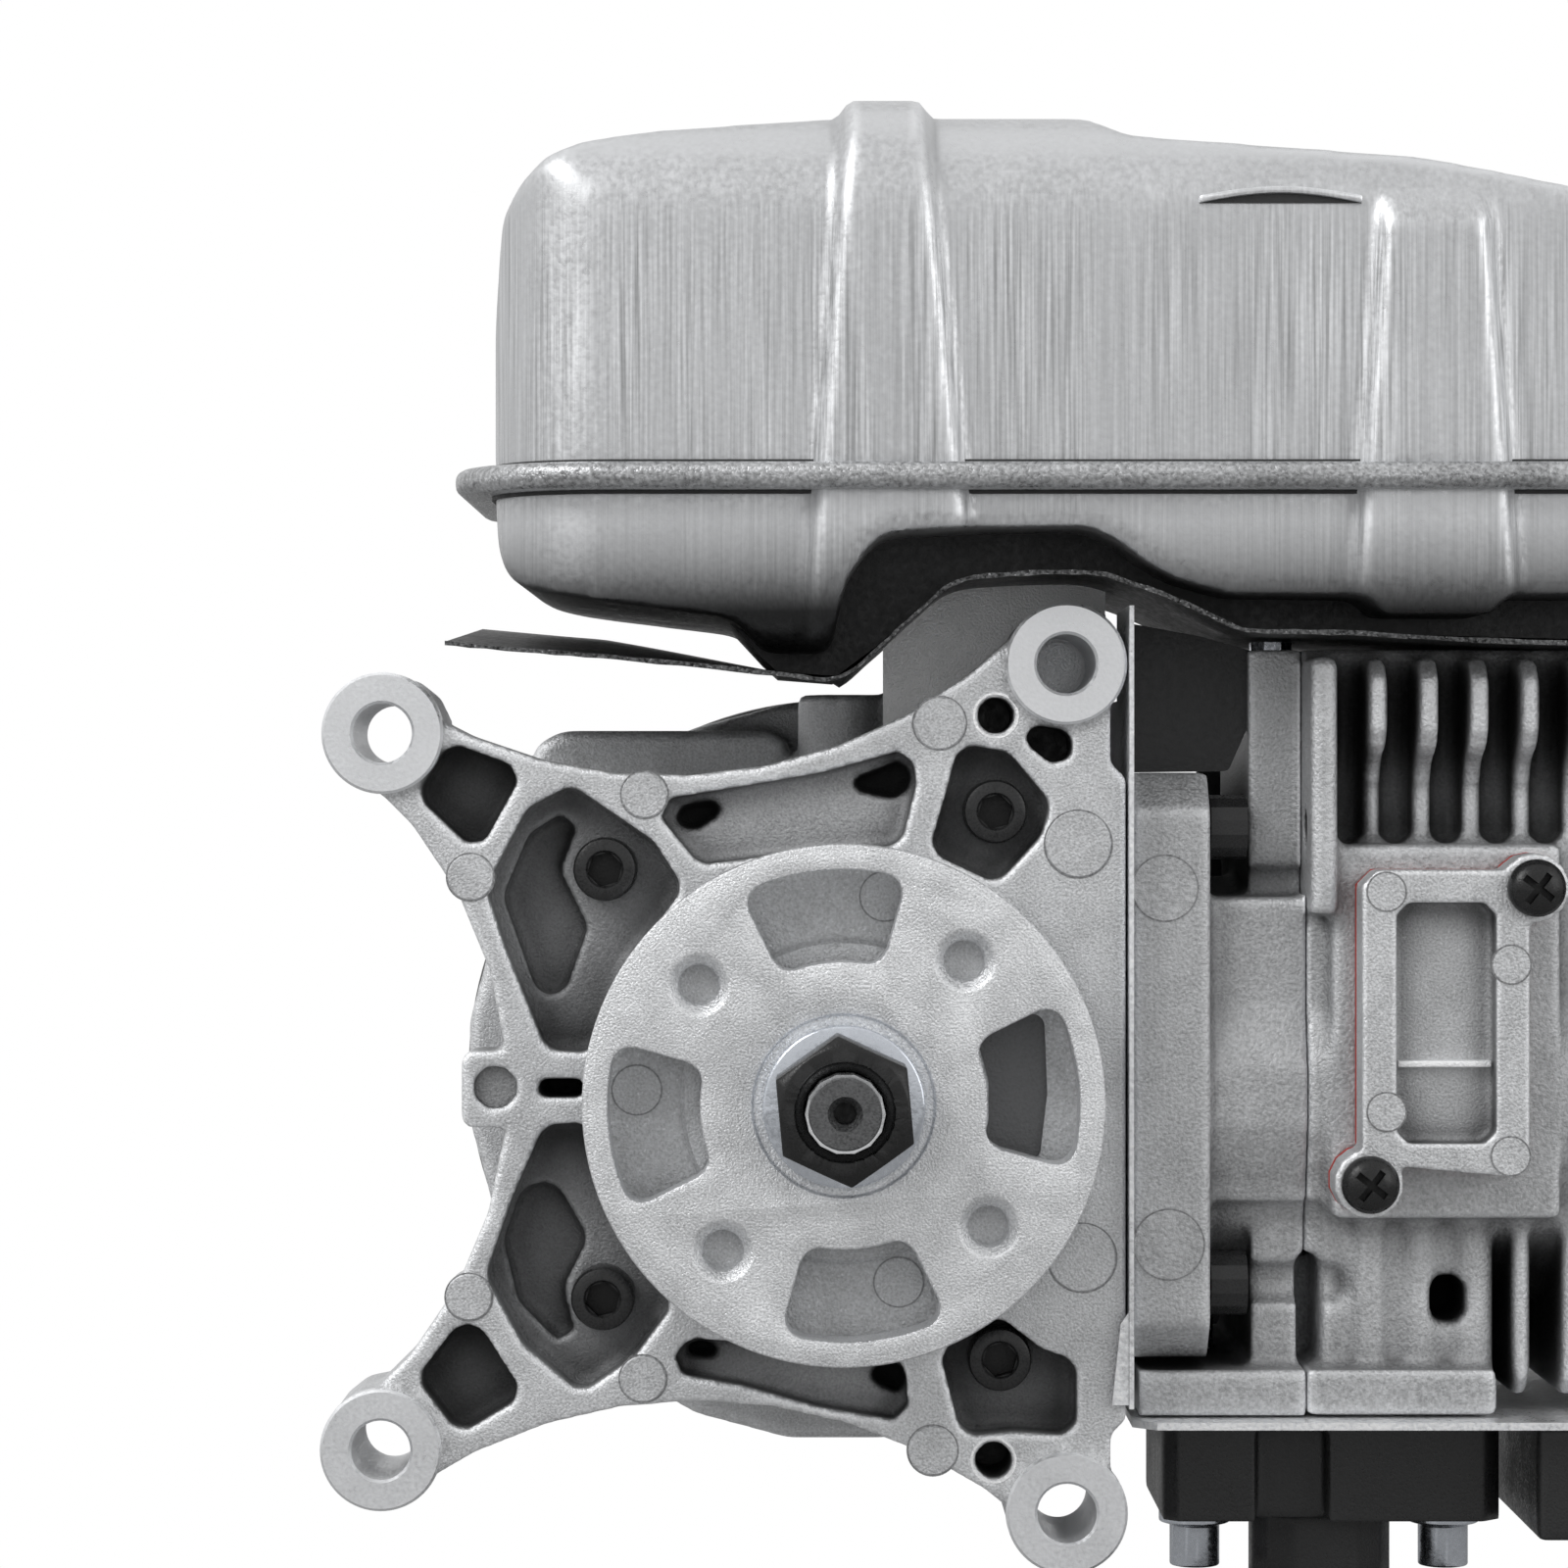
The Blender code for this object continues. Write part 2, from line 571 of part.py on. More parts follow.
def front_case():
    walls, bearings, seals = chamber_places()
    split = SPLIT_Y - SPLIT_HALF
    body = joined(
        prism(spider_outline(), "Y", CASE_PLATE_FRONT, CASE_PLATE_BACK),
        prism(rounded(rectangle((EAR_X, EAR_LOW), (-36.0, EAR_HIGH)), 1.0), "Y", CASE_PLATE_FRONT,
              CASE_PLATE_BACK),
        rod("Y", (0, 0), CHAMBER_R + CASE_WALL, CASE_PLATE_BACK - 1.0, split, FINE),
        rod("Y", (0, 0), HUB_R, seals[0], CASE_PLATE_BACK - 2.0, FINE),
        case_block(CASE_PLATE_BACK - 1.5, split),
        *[rod("Y", place, PAD_R, 0.0, PAD_LENGTH, ROUND) for place in ARMS.values()],
        *screw_bosses(CASE_PLATE_BACK - 2.5, split),
    )
    front = CASE_PLATE_FRONT - 3.0
    body = cut(body, *[prism(rounded(outline, CORNER_R), "Y", front, floor) for outline, floor in pockets()])
    return cut(
        body,
        *[prism(rounded(outline, CORNER_R), "Y", front, DEEP_FLOOR) for outline in hollows()],
        hole("Y", (0, 0), SEAL_R + GAP, seals[0] - 5.0, bearings[0] + 1.0, FINE),
        hole("Y", (0, 0), BEARING_R + GAP, bearings[0], walls[0] + 1.0, FINE),
        hole("Y", (0, 0), CHAMBER_R, walls[0], split + 5.0, FINE),
        spigot_hole(),
        rod("Y", EAR_HOLE, 2.9, front, DEEP_FLOOR),
        box((-39.5, front, 0.2), (-33.6, DEEP_FLOOR, 2.6)),
        rod("Y", (19.9, 49.8), 2.5, front, PAD_LENGTH),
        rod("Y", (19.6, -46.9), 2.5, front, PAD_LENGTH),
        prism(rounded([(24.5, 48.7), (29.6, 47.8), (30.0, 44.2), (26.9, 43.6), (23.6, 46.4)], 1.0), "Y",
              front, 20.0),
        *[hole("Y", place, PAD_BORE_R, -5.0, PAD_LENGTH + 5.0, ROUND) for place in ARMS.values()],
        *screw_holes(front, split + 5.0),
        *base_screw_holes(),
    )


def web_outline():
    """The rear case's upright web behind one mounting arm, which carries the casting up under the heat shield."""
    foot = CASE_BLOCK_TOP - 2.0
    return [(POST_X + POST_R + 0.2, foot), (POST_X + POST_R + 0.2, 54.5), (13.7, 58.0), (19.5, 62.0),
            (25.2, WEB_TOP),
            (CASE_END_X, WEB_TOP), (CASE_END_X, foot)]


def rear_case():
    walls, bearings, seals = chamber_places()
    split = SPLIT_Y + SPLIT_HALF
    plate = bearings[1] - REAR_PLATE_T
    post_y = split + POST_R
    lobe = rounded([(-42.7, 10.0), (-42.7, 46.0), (-38.5, 48.3), (-6.0, 48.3), (-6.0, 10.0)], 5.0, 4)
    body = joined(
        rod("Y", (0, 0), CHAMBER_R + CASE_WALL, split, bearings[1], FINE),
        rod("Y", (0, 0), HOUSING_R, plate, bearings[1], FINE),
        rod("Y", (0, 0), BEARING_R + 4.0, plate, seals[1], FINE),
        case_block(split, bearings[1] - 1.0),
        prism(lobe, "Y", split + 8.0, bearings[1] - 1.5),
        rod("Z", (POST_X, post_y), POST_R, 25.0, POST_TOP, ROUND),
        prism(web_outline(), "Y", split + 2.0, split + 2.0 + WEB_WALL_T),
        *screw_bosses(split, plate + 1.0),
        *[rod("Y", place, LUG_R, plate - 3.0, bearings[1], ROUND) for place in lug_places()],
    )
    return cut(
        body,
        hole("Y", (0, 0), SEAL_R + GAP, bearings[1] - 1.0, seals[1] + 5.0, FINE),
        hole("Y", (0, 0), BEARING_R + GAP, walls[1] - 1.0, bearings[1], FINE),
        hole("Y", (0, 0), CHAMBER_R, split - 5.0, walls[1], FINE),
        spigot_hole(),
        hole("Z", (POST_X, post_y), MUFFLER_BOLT_R - 0.5, POST_TOP - 12.0, POST_TOP + 5.0),
        *screw_holes(split - 5.0, split + SCREW_GRIP),
        *base_screw_holes(),
        *[hole("Y", place, COVER_SCREW_R + GAP, plate - 10.0, bearings[1] + 5.0) for place in lug_places()],
        box((CASE_END_X, plate - 5.0, -80.0), (80.0, FLANGE_BACK_Y + 1.0, 80.0)),
    )


def case_gasket():
    outer = CHAMBER_R + CASE_WALL - 0.5
    half = SPLIT_HALF - GAP
    sheet = joined(
        rod("Y", (0, 0), outer, SPLIT_Y - half, SPLIT_Y + half, FINE),
        *[rod("Y", place, SCREW_BOSS_R - 0.5, SPLIT_Y - half, SPLIT_Y + half, ROUND)
          for place in CASE_SCREWS[2:]],
        *[prism(rectangle((0.5, low), (CASE_END_X - 0.5, high)), "Y", SPLIT_Y - half, SPLIT_Y + half)
          for low, high in ((CASE_BLOCK_BOTTOM + 0.5, -SPIGOT_R + 1.0), (SPIGOT_R - 1.0, CASE_BLOCK_TOP - 0.5))],
    )
    return cut(
        sheet,
        hole("Y", (0, 0), CHAMBER_R, SPLIT_Y - 5.0, SPLIT_Y + 5.0, FINE),
        box((0.0, SPLIT_Y - 5.0, -SPIGOT_R - GAP), (CASE_END_X + 5.0, SPLIT_Y + 5.0, SPIGOT_R + GAP)),
        *screw_holes(SPLIT_Y - 5.0, SPLIT_Y + 5.0),
    )


def socket_screw(axis, centre, seat, end, head_r, head_t, shank_r):
    """A cap screw whose head stands from its seat away from its end, with a hexagonal socket."""
    way = 1.0 if end > seat else -1.0
    top = seat - way * head_t
    bar = joined(
        rod(axis, centre, head_r, min(seat, top), max(seat, top), ROUND),
        rod(axis, centre, shank_r, min(seat - way, end), max(seat - way, end)),
    )
    floor = top + way * head_t * 0.55
    start = top - way * 5.0
    return cut(bar, prism(hexagon(centre, HEX_KEY_R), axis, min(start, floor), max(start, floor)))


def build_case():
    finish("front_case", front_case(), "cast")
    finish("rear_case", rear_case(), "cast")
    finish("case_gasket", case_gasket(), "paper")
    walls, bearings, seals = chamber_places()
    faces = (("front", bearings[0], walls[0], seals[0]), ("rear", walls[1], bearings[1], bearings[1]))
    for side, bearing_start, bearing_end, seal_start in faces:
        bearing = ring("Y", (0, 0), MAIN_R + GAP, BEARING_R, bearing_start + GAP, bearing_end - GAP, ROUND)
        seal = ring("Y", (0, 0), MAIN_R + GAP, SEAL_R, seal_start + GAP, seal_start + SEAL_T - GAP, ROUND)
        finish(side + "_bearing", bearing, "steel")
        finish(side + "_seal", seal, "rubber")
    for number, place in enumerate(CASE_SCREWS, 1):
        seat = POCKET_FLOOR - GAP
        end = SPLIT_Y + SPLIT_HALF + SCREW_GRIP - 1.0
        screw = socket_screw("Y", place, seat, end, SCREW_HEAD_R, SCREW_HEAD_T, SCREW_R)
        finish(f"case_screw_{number}", screw, "black_oxide")


# ---------------------------------------------------------------- cylinder
def fin_outline():
    return [
        (FIN_FRONT_LOW, FIN_BOTTOM),
        (FIN_FRONT_LOW, FIN_KINK),
        (FIN_FRONT_HIGH, FIN_KINK + 3.0),
        (FIN_FRONT_HIGH, FIN_TOP),
        (FIN_BACK, FIN_TOP),
        (FIN_BACK, FIN_BOTTOM),
    ]


def fins():
    """Plates across the barrel. The first is short, because the transfer passage starts beside it."""
    first = [(2.0, 24.0), (2.0, FIN_TOP), (FIN_BACK, FIN_TOP), (FIN_BACK, -20.0), (SPLIT_Y, -20.0),
             (SPLIT_Y, 24.0)]
    made = [prism(first, "X", FIRST_FIN_X - FIRST_FIN_T / 2.0, FIRST_FIN_X + FIRST_FIN_T / 2.0)]
    for index in range(FIN_COUNT):
        middle = SECOND_FIN_X + FIN_PITCH * index
        made.append(prism(rounded(fin_outline(), 3.0), "X", middle - FIN_T / 2.0, middle + FIN_T / 2.0))
    return made


def cylinder():
    axis = (SPLIT_Y, 0.0)
    flange = rounded(rectangle((FLANGE_FRONT_Y, FLANGE_BOTTOM), (FLANGE_BACK_Y, FLANGE_TOP)), 5.0)
    flange_end = CYL_BASE_X + FLANGE_T
    body = joined(
        prism(flange, "X", CYL_BASE_X, flange_end),
        rod("X", axis, SPIGOT_R, SPIGOT_X, CYL_BASE_X + 1.0, FINE),
        rod("X", axis, BARREL_R, flange_end - 1.0, HEAD_END_X, FINE),
        rod("X", axis, PLUG_BOSS_R, HEAD_END_X - 1.0, HEAD_END_X + PLUG_BOSS_T, ROUND),
        box((flange_end - 1.0, *PASSAGE_LOW), (PASSAGE_END, SPLIT_Y, PASSAGE_TOP)),
        box((PASSAGE_END - 3.0, COVER_SEAT_Y, COVER_SEAT_LOW), (COVER_SEAT_END, SPLIT_Y, COVER_SEAT_TOP)),
        box((CYL_BASE_X + 1.0, SLAB_FRONT, INTAKE_FACE), (INTAKE_BLOCK_END, SLAB_BACK, INTAKE_FACE + SLAB_T)),
        box((BLOCK_X, *INTAKE_BLOCK_LOW), (INTAKE_BLOCK_END, *INTAKE_BLOCK_HIGH)),
        box((BLOCK_X, *EXHAUST_NECK_LOW), (EXHAUST_NECK_END, *EXHAUST_NECK_HIGH)),
        box((BLOCK_X, *EXHAUST_BLOCK_LOW), (EXHAUST_X + EXHAUST_BLOCK_HALF, *EXHAUST_BLOCK_HIGH)),
        *fins(),
    )
    holes = [hole("Z", (PORT_X + side * INTAKE_BOLT_SPACING / 2.0, SPLIT_Y), INTAKE_BOLT_R + GAP,
                  INTAKE_FACE - 5.0,
                 INTAKE_FACE + 12.0) for side in (-1, 1)]
    holes += [hole("Z", (x, SPLIT_Y), MUFFLER_BOLT_R + GAP, EXHAUST_FACE - 14.0, EXHAUST_FACE + 5.0)
              for x in MUFFLER_BOLT_X]
    holes += [hole("Y", place, COVER_SCREW_R + GAP, 0.0, COVER_THREAD_END + 1.0) for place in COVER_SCREWS]
    return cut(
        body,
        hole("X", axis, BORE_R, SPIGOT_X - 5.0, BORE_END_X, FINE),
        hole("X", axis, PLUG_R + GAP, BORE_END_X - 5.0, HEAD_END_X + 20.0, ROUND),
        hole("Z", (PORT_X, SPLIT_Y), PORT_R, INTAKE_FACE - 5.0, 0.0, ROUND),
        hole("Z", (EXHAUST_X, SPLIT_Y), EXHAUST_R, 0.0, EXHAUST_FACE + 5.0, ROUND),
        *[box(low, high) for low, high in CYLINDER_RECESSES],
        *holes,
        *base_screw_holes(),
    )


def base_sheet():
    """Thin plate between the case and the cylinder, with a bent gusset at its lower front corner."""
    front = CASE_PLATE_FRONT - 2.0
    outline = [(front, -40.0), (front, 64.0), (22.0, 64.0), (22.0, 52.0), (60.0, 52.0), (60.0, -40.0)]
    inside = SHEET_X + SHEET_T / 2.0
    gusset = [(inside, -27.0), (36.0, -29.0), (34.9, -39.5), (inside, -39.5)]
    plate = joined(prism(outline, "X", SHEET_X, SHEET_X + SHEET_T),
                   prism(gusset, "Y", front + 0.2, front + 0.2 + SHEET_T))
    return cut(plate, spigot_hole(), *base_screw_holes())


def cover_outline():
    """The transfer cover's edge, with a boss at two opposite corners."""
    right, left = COVER_SCREWS
    body = [(COVER_LEFT, COVER_LOW), (COVER_LEFT, COVER_HIGH), (COVER_RIGHT, COVER_HIGH),
            (COVER_RIGHT, COVER_LOW - 2.0)]
    return rounded(body, 2.0), right, left


def transfer_cover():
    outline, right, left = cover_outline()
    back = COVER_SEAT_Y - COVER_GASKET_T - 2.0 * GAP
    body = joined(
        prism(outline, "Y", COVER_FACE_Y, back),
        rod("Y", right, COVER_BOSS_R, COVER_FACE_Y, back, ROUND),
        rod("Y", left, COVER_BOSS_R, COVER_FACE_Y, back, ROUND),
    )
    return cut(
        body,
        prism(rounded(rectangle((71.5, -5.5), (84.3, 25.6)), 1.5), "Y", COVER_FACE_Y - 5.0,
              COVER_FACE_Y + COVER_POCKET_DEPTH),
        *[hole("Y", place, COVER_SCREW_R + GAP, COVER_FACE_Y - 5.0, back + 5.0) for place in COVER_SCREWS],
    )


def transfer_gasket():
    outline, right, left = cover_outline()
    start = COVER_SEAT_Y - COVER_GASKET_T - GAP
    end = COVER_SEAT_Y - GAP
    sheet = joined(
        prism(outline, "Y", start, end),
        rod("Y", right, COVER_BOSS_R, start, end, ROUND),
        rod("Y", left, COVER_BOSS_R, start, end, ROUND),
    )
    holes = [hole("Y", place, COVER_SCREW_R + GAP, start - 5.0, end + 5.0) for place in COVER_SCREWS]
    return cut(sheet, box((72.0, start - 5.0, -5.0), (84.0, end + 5.0, 24.0)), *holes)


def pan_screw(place, seat, end):
    """A cross-head screw along Y, from its head's seat to its thread's end."""
    way = 1.0 if end > seat else -1.0
    top = seat - way * COVER_HEAD_T
    head = turned([(0, top), (1.6, top), (3.0, top + way * 0.5), (COVER_HEAD_R, top + way * 1.6),
                   (COVER_HEAD_R, seat),
                   (COVER_SCREW_R, seat), (COVER_SCREW_R, end), (0, end)], "Y", place, ROUND)
    near, far = sorted((top - way * 5.0, top + way * 1.6))
    arms = [box((place[0] - a, near, place[1] - b), (place[0] + a, far, place[1] + b))
            for a, b in ((2.1, 0.5), (0.5, 2.1))]
    return cut(head, *arms)


def spark_plug():
    seat = HEAD_END_X + PLUG_BOSS_T + GAP
    metal = [(0, seat - 13.0), (PLUG_R, seat - 13.0), (PLUG_R, seat), (9.5, seat), (9.5, seat + 3.0),
             (8.5, seat + 3.0), (8.5, seat + 15.0), (6.0, seat + 16.5), (5.0, seat + 17.0),
             (4.6, seat + 38.0), (3.2, seat + 39.0), (3.2, seat + 46.0), (0, seat + 46.0)]
    return joined(
        turned(metal, "X", (SPLIT_Y, 0.0)),
        prism(hexagon((SPLIT_Y, 0.0), 11.0), "X", seat + 3.5, seat + 12.0),
    )


def shroud():
    """Black air guide behind the barrel, wrapped round the head and under the plate on the intake side."""
    top, bottom = FIN_TOP - 1.0, FIN_BOTTOM + 1.0
    low_top = INTAKE_FACE - PLATE_T - 2.0 * GAP
    body = joined(
        box((SHROUD_LEFT, SHROUD_BACK, bottom), (SHROUD_END + SHROUD_WALL, SHROUD_BACK + SHROUD_WALL, top)),
        box((SHROUD_END, FIN_FRONT_HIGH, bottom), (SHROUD_END + SHROUD_WALL, SHROUD_BACK + 1.0, top)),
        box((SHROUD_END, 8.0, low_top - 15.0), (SHROUD_END + SHROUD_WALL, 50.0, bottom + 1.0)),
        box((91.5, 8.0, low_top - 15.0), (SHROUD_END + 1.0, 50.0, low_top)),
    )
    return cut(body, rod("X", (SPLIT_Y, 0.0), PLUG_BOSS_R + 3.0, SHROUD_END - 5.0, SHROUD_END + 10.0, ROUND))


def build_cylinder():
    finish("cylinder", cylinder(), "cast")
    finish("base_plate", base_sheet(), "drawn")
    finish("transfer_cover", transfer_cover(), "cast")
    finish("transfer_gasket", transfer_gasket(), "gasket")
    for number, place in enumerate(COVER_SCREWS, 1):
        finish(f"transfer_screw_{number}", pan_screw(place, COVER_FACE_Y - GAP, COVER_THREAD_END),
               "black_oxide")
    places = [(y, z) for y in BASE_SCREW_Y for z in BASE_SCREW_Z]
    for number, place in enumerate(places, 1):
        seat = CYL_BASE_X + FLANGE_T + GAP
        screw = socket_screw("X", place, seat, BASE_SCREW_END, SCREW_HEAD_R, SCREW_HEAD_T, SCREW_R)
        finish(f"cylinder_screw_{number}", screw, "black_oxide")
    finish("spark_plug", spark_plug(), "ceramic")
    finish("cylinder_shroud", shroud(), "black_plastic")


# ---------------------------------------------------------------- silencer
def plan(inset, lip=0.0):
    low = (SHELL_LEFT + inset - lip, SHELL_FRONT + inset - lip)
    high = (SHELL_RIGHT - inset + lip, SHELL_BACK - inset + lip)
    return rounded(rectangle(low, high), SHELL_CORNER - inset + lip, 3)


def upper_profile(inset):
    """The upper shell seen from the front, from its left foot over the crown to its right foot."""
    low = SEAM_Z - 2.0
    left, right, top = SHELL_LEFT + inset, SHELL_RIGHT - inset, SHELL_TOP - inset
    return [(left, low), (left + 2.5, 106.0), (left + 6.0, 116.0), (left + 13.0, 122.0),
            (left + 25.0, top - 2.5),
            (0.0, top), (30.0, top), (62.0, top - 5.5), (94.0, top - 11.0), (right - 9.0, top - 17.0),
            (right - 3.0, top - 25.0), (right, low)]


def upper_shell():
    outer = common(prism(upper_profile(0.0), "Y", SHELL_FRONT - 5.0, SHELL_BACK + 5.0),
                   prism(plan(0.0), "Z", SEAM_Z + GAP / 2.0, SHELL_TOP + 10.0))
    inner = common(prism(upper_profile(SHELL_WALL), "Y", SHELL_FRONT - 5.0, SHELL_BACK + 5.0),
                   prism(plan(SHELL_WALL), "Z", SEAM_Z - 1.0, SHELL_TOP + 10.0))
    lip = prism(plan(0.0, SEAM_LIP), "Z", SEAM_Z + GAP / 2.0, SEAM_Z + GAP / 2.0 + SEAM_T)
    rib = prism([(-1.0, SEAM_Z + 2.0), (13.0, SEAM_Z + 2.0), (9.0, 122.0), (1.0, 122.0)], "Y",
                SHELL_FRONT - 1.6, 0.0)
    outlet = box((48.0, -4.0, 113.0), (66.0, 4.0, 119.5))
    return cut(joined(outer, lip, rib), inner, outlet)


def lower_profile(inset):
    """The lower shell seen from the front: raised over one mounting arm, and deepest over the exhaust port."""
    high = SEAM_Z + 2.0
    left, right = SHELL_LEFT + inset, SHELL_RIGHT - inset
    low, arch = SHELL_BOTTOM + inset, SHELL_ARCH + inset
    return [(left, high), (left + 0.5, low + 7.5), (left + 4.0, low + 1.5), (left + 9.0, low),
            (-12.0, low - 2.0),
            (-1.0, low - 1.0), (5.5, arch - 1.0), (30.0, arch), (37.0, arch - 2.0), (46.0, low + 0.5),
            (right - 6.0, low), (right, low + 6.0), (right, high)]


def lower_shell():
    top = SEAM_Z - GAP / 2.0
    outer = common(prism(lower_profile(0.0), "Y", SHELL_FRONT - 5.0, SHELL_BACK + 5.0),
                   prism(plan(0.0), "Z", SHELL_BOTTOM - 10.0, top))
    inner = common(prism(lower_profile(SHELL_WALL), "Y", SHELL_FRONT - 5.0, SHELL_BACK + 5.0),
                   prism(plan(SHELL_WALL), "Z", SHELL_BOTTOM - 10.0, top + 1.0))
    lip = prism(plan(0.0, SEAM_LIP), "Z", top - SEAM_T, top)
    low = (EXHAUST_X - INLET_HALF_X, SPLIT_Y - INLET_HALF_Y)
    high = (EXHAUST_X + INLET_HALF_X, SPLIT_Y + INLET_HALF_Y)
    collar_low = SHIELD_Z + SHIELD_T + GAP
    inlet = prism(rounded(rectangle(low, high), 4.0), "Z", collar_low, SHELL_BOTTOM + 1.0)
    foot = rod("Z", (POST_X - 5.0, SPLIT_Y + SPLIT_HALF + POST_R), 4.5, POST_TOP + 2.6, SHELL_BOTTOM + 1.0,
               ROUND)
    shell = cut(joined(outer, lip), inner)
    bolts = [hole("Z", (x, SPLIT_Y), MUFFLER_BOLT_R + GAP, collar_low - 5.0, SEAM_Z) for x in MUFFLER_BOLT_X]
    return cut(joined(shell, inlet, foot), hole("Z", (EXHAUST_X, SPLIT_Y), EXHAUST_R, collar_low - 5.0,
                                                SEAM_Z, ROUND),
               *bolts)


def shield_profile():
    """The heat shield's upper side seen from the front: it dips to the case's post and rises over one arm."""
    flat = SHIELD_Z + SHIELD_T
    return [(SHIELD_LEFT, 59.3), (-26.7, 57.2), (-8.5, POST_TOP + 2.2), (-0.7, POST_TOP + 1.6), (4.9, 59.0),
            (9.9, 63.6),
            (14.4, 66.9), (20.0, 67.6), (26.5, 68.4), (31.5, 68.2), (37.5, 66.6), (42.9, 64.6), (48.9, 61.8),
            (51.5, flat), (SHIELD_RIGHT, flat)]


def heat_shield():
    upper = shield_profile()
    lower = [(x, z - SHIELD_T) for x, z in reversed(upper)]
    plate = prism(upper + lower, "Y", SHIELD_FRONT, SHIELD_BACK)
    bolts = [hole("Z", (x, SPLIT_Y), MUFFLER_BOLT_R + GAP, SHIELD_Z - 5.0,
                  SHIELD_Z + 8.0) for x in MUFFLER_BOLT_X]
    return cut(plate, hole("Z", (EXHAUST_X, SPLIT_Y), EXHAUST_R, SHIELD_Z - 5.0, SHIELD_Z + 8.0, ROUND),
               *bolts)


def build_silencer():
    finish("muffler_upper_shell", upper_shell(), "drawn")
    finish("muffler_lower_shell", lower_shell(), "drawn")
    finish("heat_shield", heat_shield(), "scorched")
    for number, x in enumerate(MUFFLER_BOLT_X, 1):
        seat = SHELL_BOTTOM + SHELL_WALL + 0.5 + GAP
        bolt = joined(
            prism(hexagon((x, SPLIT_Y), 5.8), "Z", seat, seat + 5.0),
            rod("Z", (x, SPLIT_Y), MUFFLER_BOLT_R, EXHAUST_FACE - 13.0, seat + 1.0),
        )
        finish(f"muffler_bolt_{number}", bolt, "steel")


# ---------------------------------------------------------------- intake side
def intake_plate():
    start, end = INTAKE_FACE - GAP - PLATE_T, INTAKE_FACE - GAP
    outline = rounded(rectangle((PLATE_LEFT, PLATE_FRONT), (PLATE_RIGHT, PLATE_BACK)), 3.0)
    holes = [hole("Z", (PORT_X + side * INTAKE_BOLT_SPACING / 2.0, SPLIT_Y), INTAKE_BOLT_R + GAP,
                  start - 5.0, end + 5.0)
             for side in (-1, 1)]
    return cut(prism(outline, "Z", start, end), hole("Z", (PORT_X, SPLIT_Y), PORT_R, start - 5.0, end + 5.0,
                                                     ROUND), *holes)


def insulator_places():
    """Top of the insulator, underside of its block, and its lower face, along Z."""
    top = INTAKE_FACE - PLATE_T - 2.0 * GAP
    block = top - INSULATOR_T
    return top, block, block - TUBE_LENGTH


def insulator():
    top, block, face = insulator_places()
    low = (PORT_X - INSULATOR_HALF_X, SPLIT_Y - INSULATOR_HALF_Y)
    high = (PORT_X + INSULATOR_HALF_X, SPLIT_Y + INSULATOR_HALF_Y)
    flange_low = (PORT_X - CARB_FLANGE_HALF_X, SPLIT_Y - CARB_FLANGE_HALF_Y)
    flange_high = (PORT_X + CARB_FLANGE_HALF_X, SPLIT_Y + CARB_FLANGE_HALF_Y)
    body = joined(
        prism(rounded(rectangle(low, high), 2.0), "Z", block, top),
        rod("Z", (PORT_X, SPLIT_Y), TUBE_R, face, block + 1.0, ROUND),
        prism(rounded(rectangle(flange_low, flange_high), 4.0), "Z", face, face + CARB_FLANGE_T),
    )
    bolts = [hole("Z", (PORT_X + side * INTAKE_BOLT_SPACING / 2.0, SPLIT_Y), INTAKE_BOLT_R + GAP,
                  block - 5.0, top + 5.0)
             for side in (-1, 1)]
    notch = box((55.5, 0.0, block - 5.0), (65.0, 21.5, top - 1.5))
    return cut(body, hole("Z", (PORT_X, SPLIT_Y), TUBE_BORE_R, face - 5.0, top + 5.0, ROUND), notch, *bolts)


def carburettor():
    """Body with a straight bore, a float bowl on one side and a flange at each end."""
    face = insulator_places()[2] - GAP
    end = face - CARB_HEIGHT
    flange_low = (PORT_X - CARB_FLANGE_HALF_X, SPLIT_Y - CARB_FLANGE_HALF_Y)
    flange_high = (PORT_X + CARB_FLANGE_HALF_X, SPLIT_Y + CARB_FLANGE_HALF_Y)
    low = (PORT_X - CARB_HALF_X, SPLIT_Y - CARB_HALF_Y)
    high = (PORT_X + CARB_HALF_X, SPLIT_Y + CARB_HALF_Y)
    body = joined(
        prism(rounded(rectangle(low, high), 4.0), "Z", end, face - 2.0),
        prism(rounded(rectangle(flange_low, flange_high), 4.0), "Z", face - CARB_FLANGE_T, face),
        rod("Y", (PORT_X, face - CARB_HEIGHT / 2.0), 14.0, SPLIT_Y + CARB_HALF_Y - 1.0,
            SPLIT_Y + CARB_HALF_Y + 6.0, ROUND),
        rod("Y", (PORT_X + 9.0, face - CARB_HEIGHT / 2.0), 2.4, SPLIT_Y - CARB_HALF_Y - 9.0, SPLIT_Y),
    )
    return cut(
        body,
        hole("Z", (PORT_X, SPLIT_Y), CARB_BORE_R, end - 5.0, face + 5.0, ROUND),
        hole("X", (SPLIT_Y, face - THROTTLE_DROP), THROTTLE_SHAFT_R + GAP, 0.0, 150.0),
        hole("X", (SPLIT_Y, face - CHOKE_DROP), CHOKE_R + GAP, 0.0, 150.0),
    )


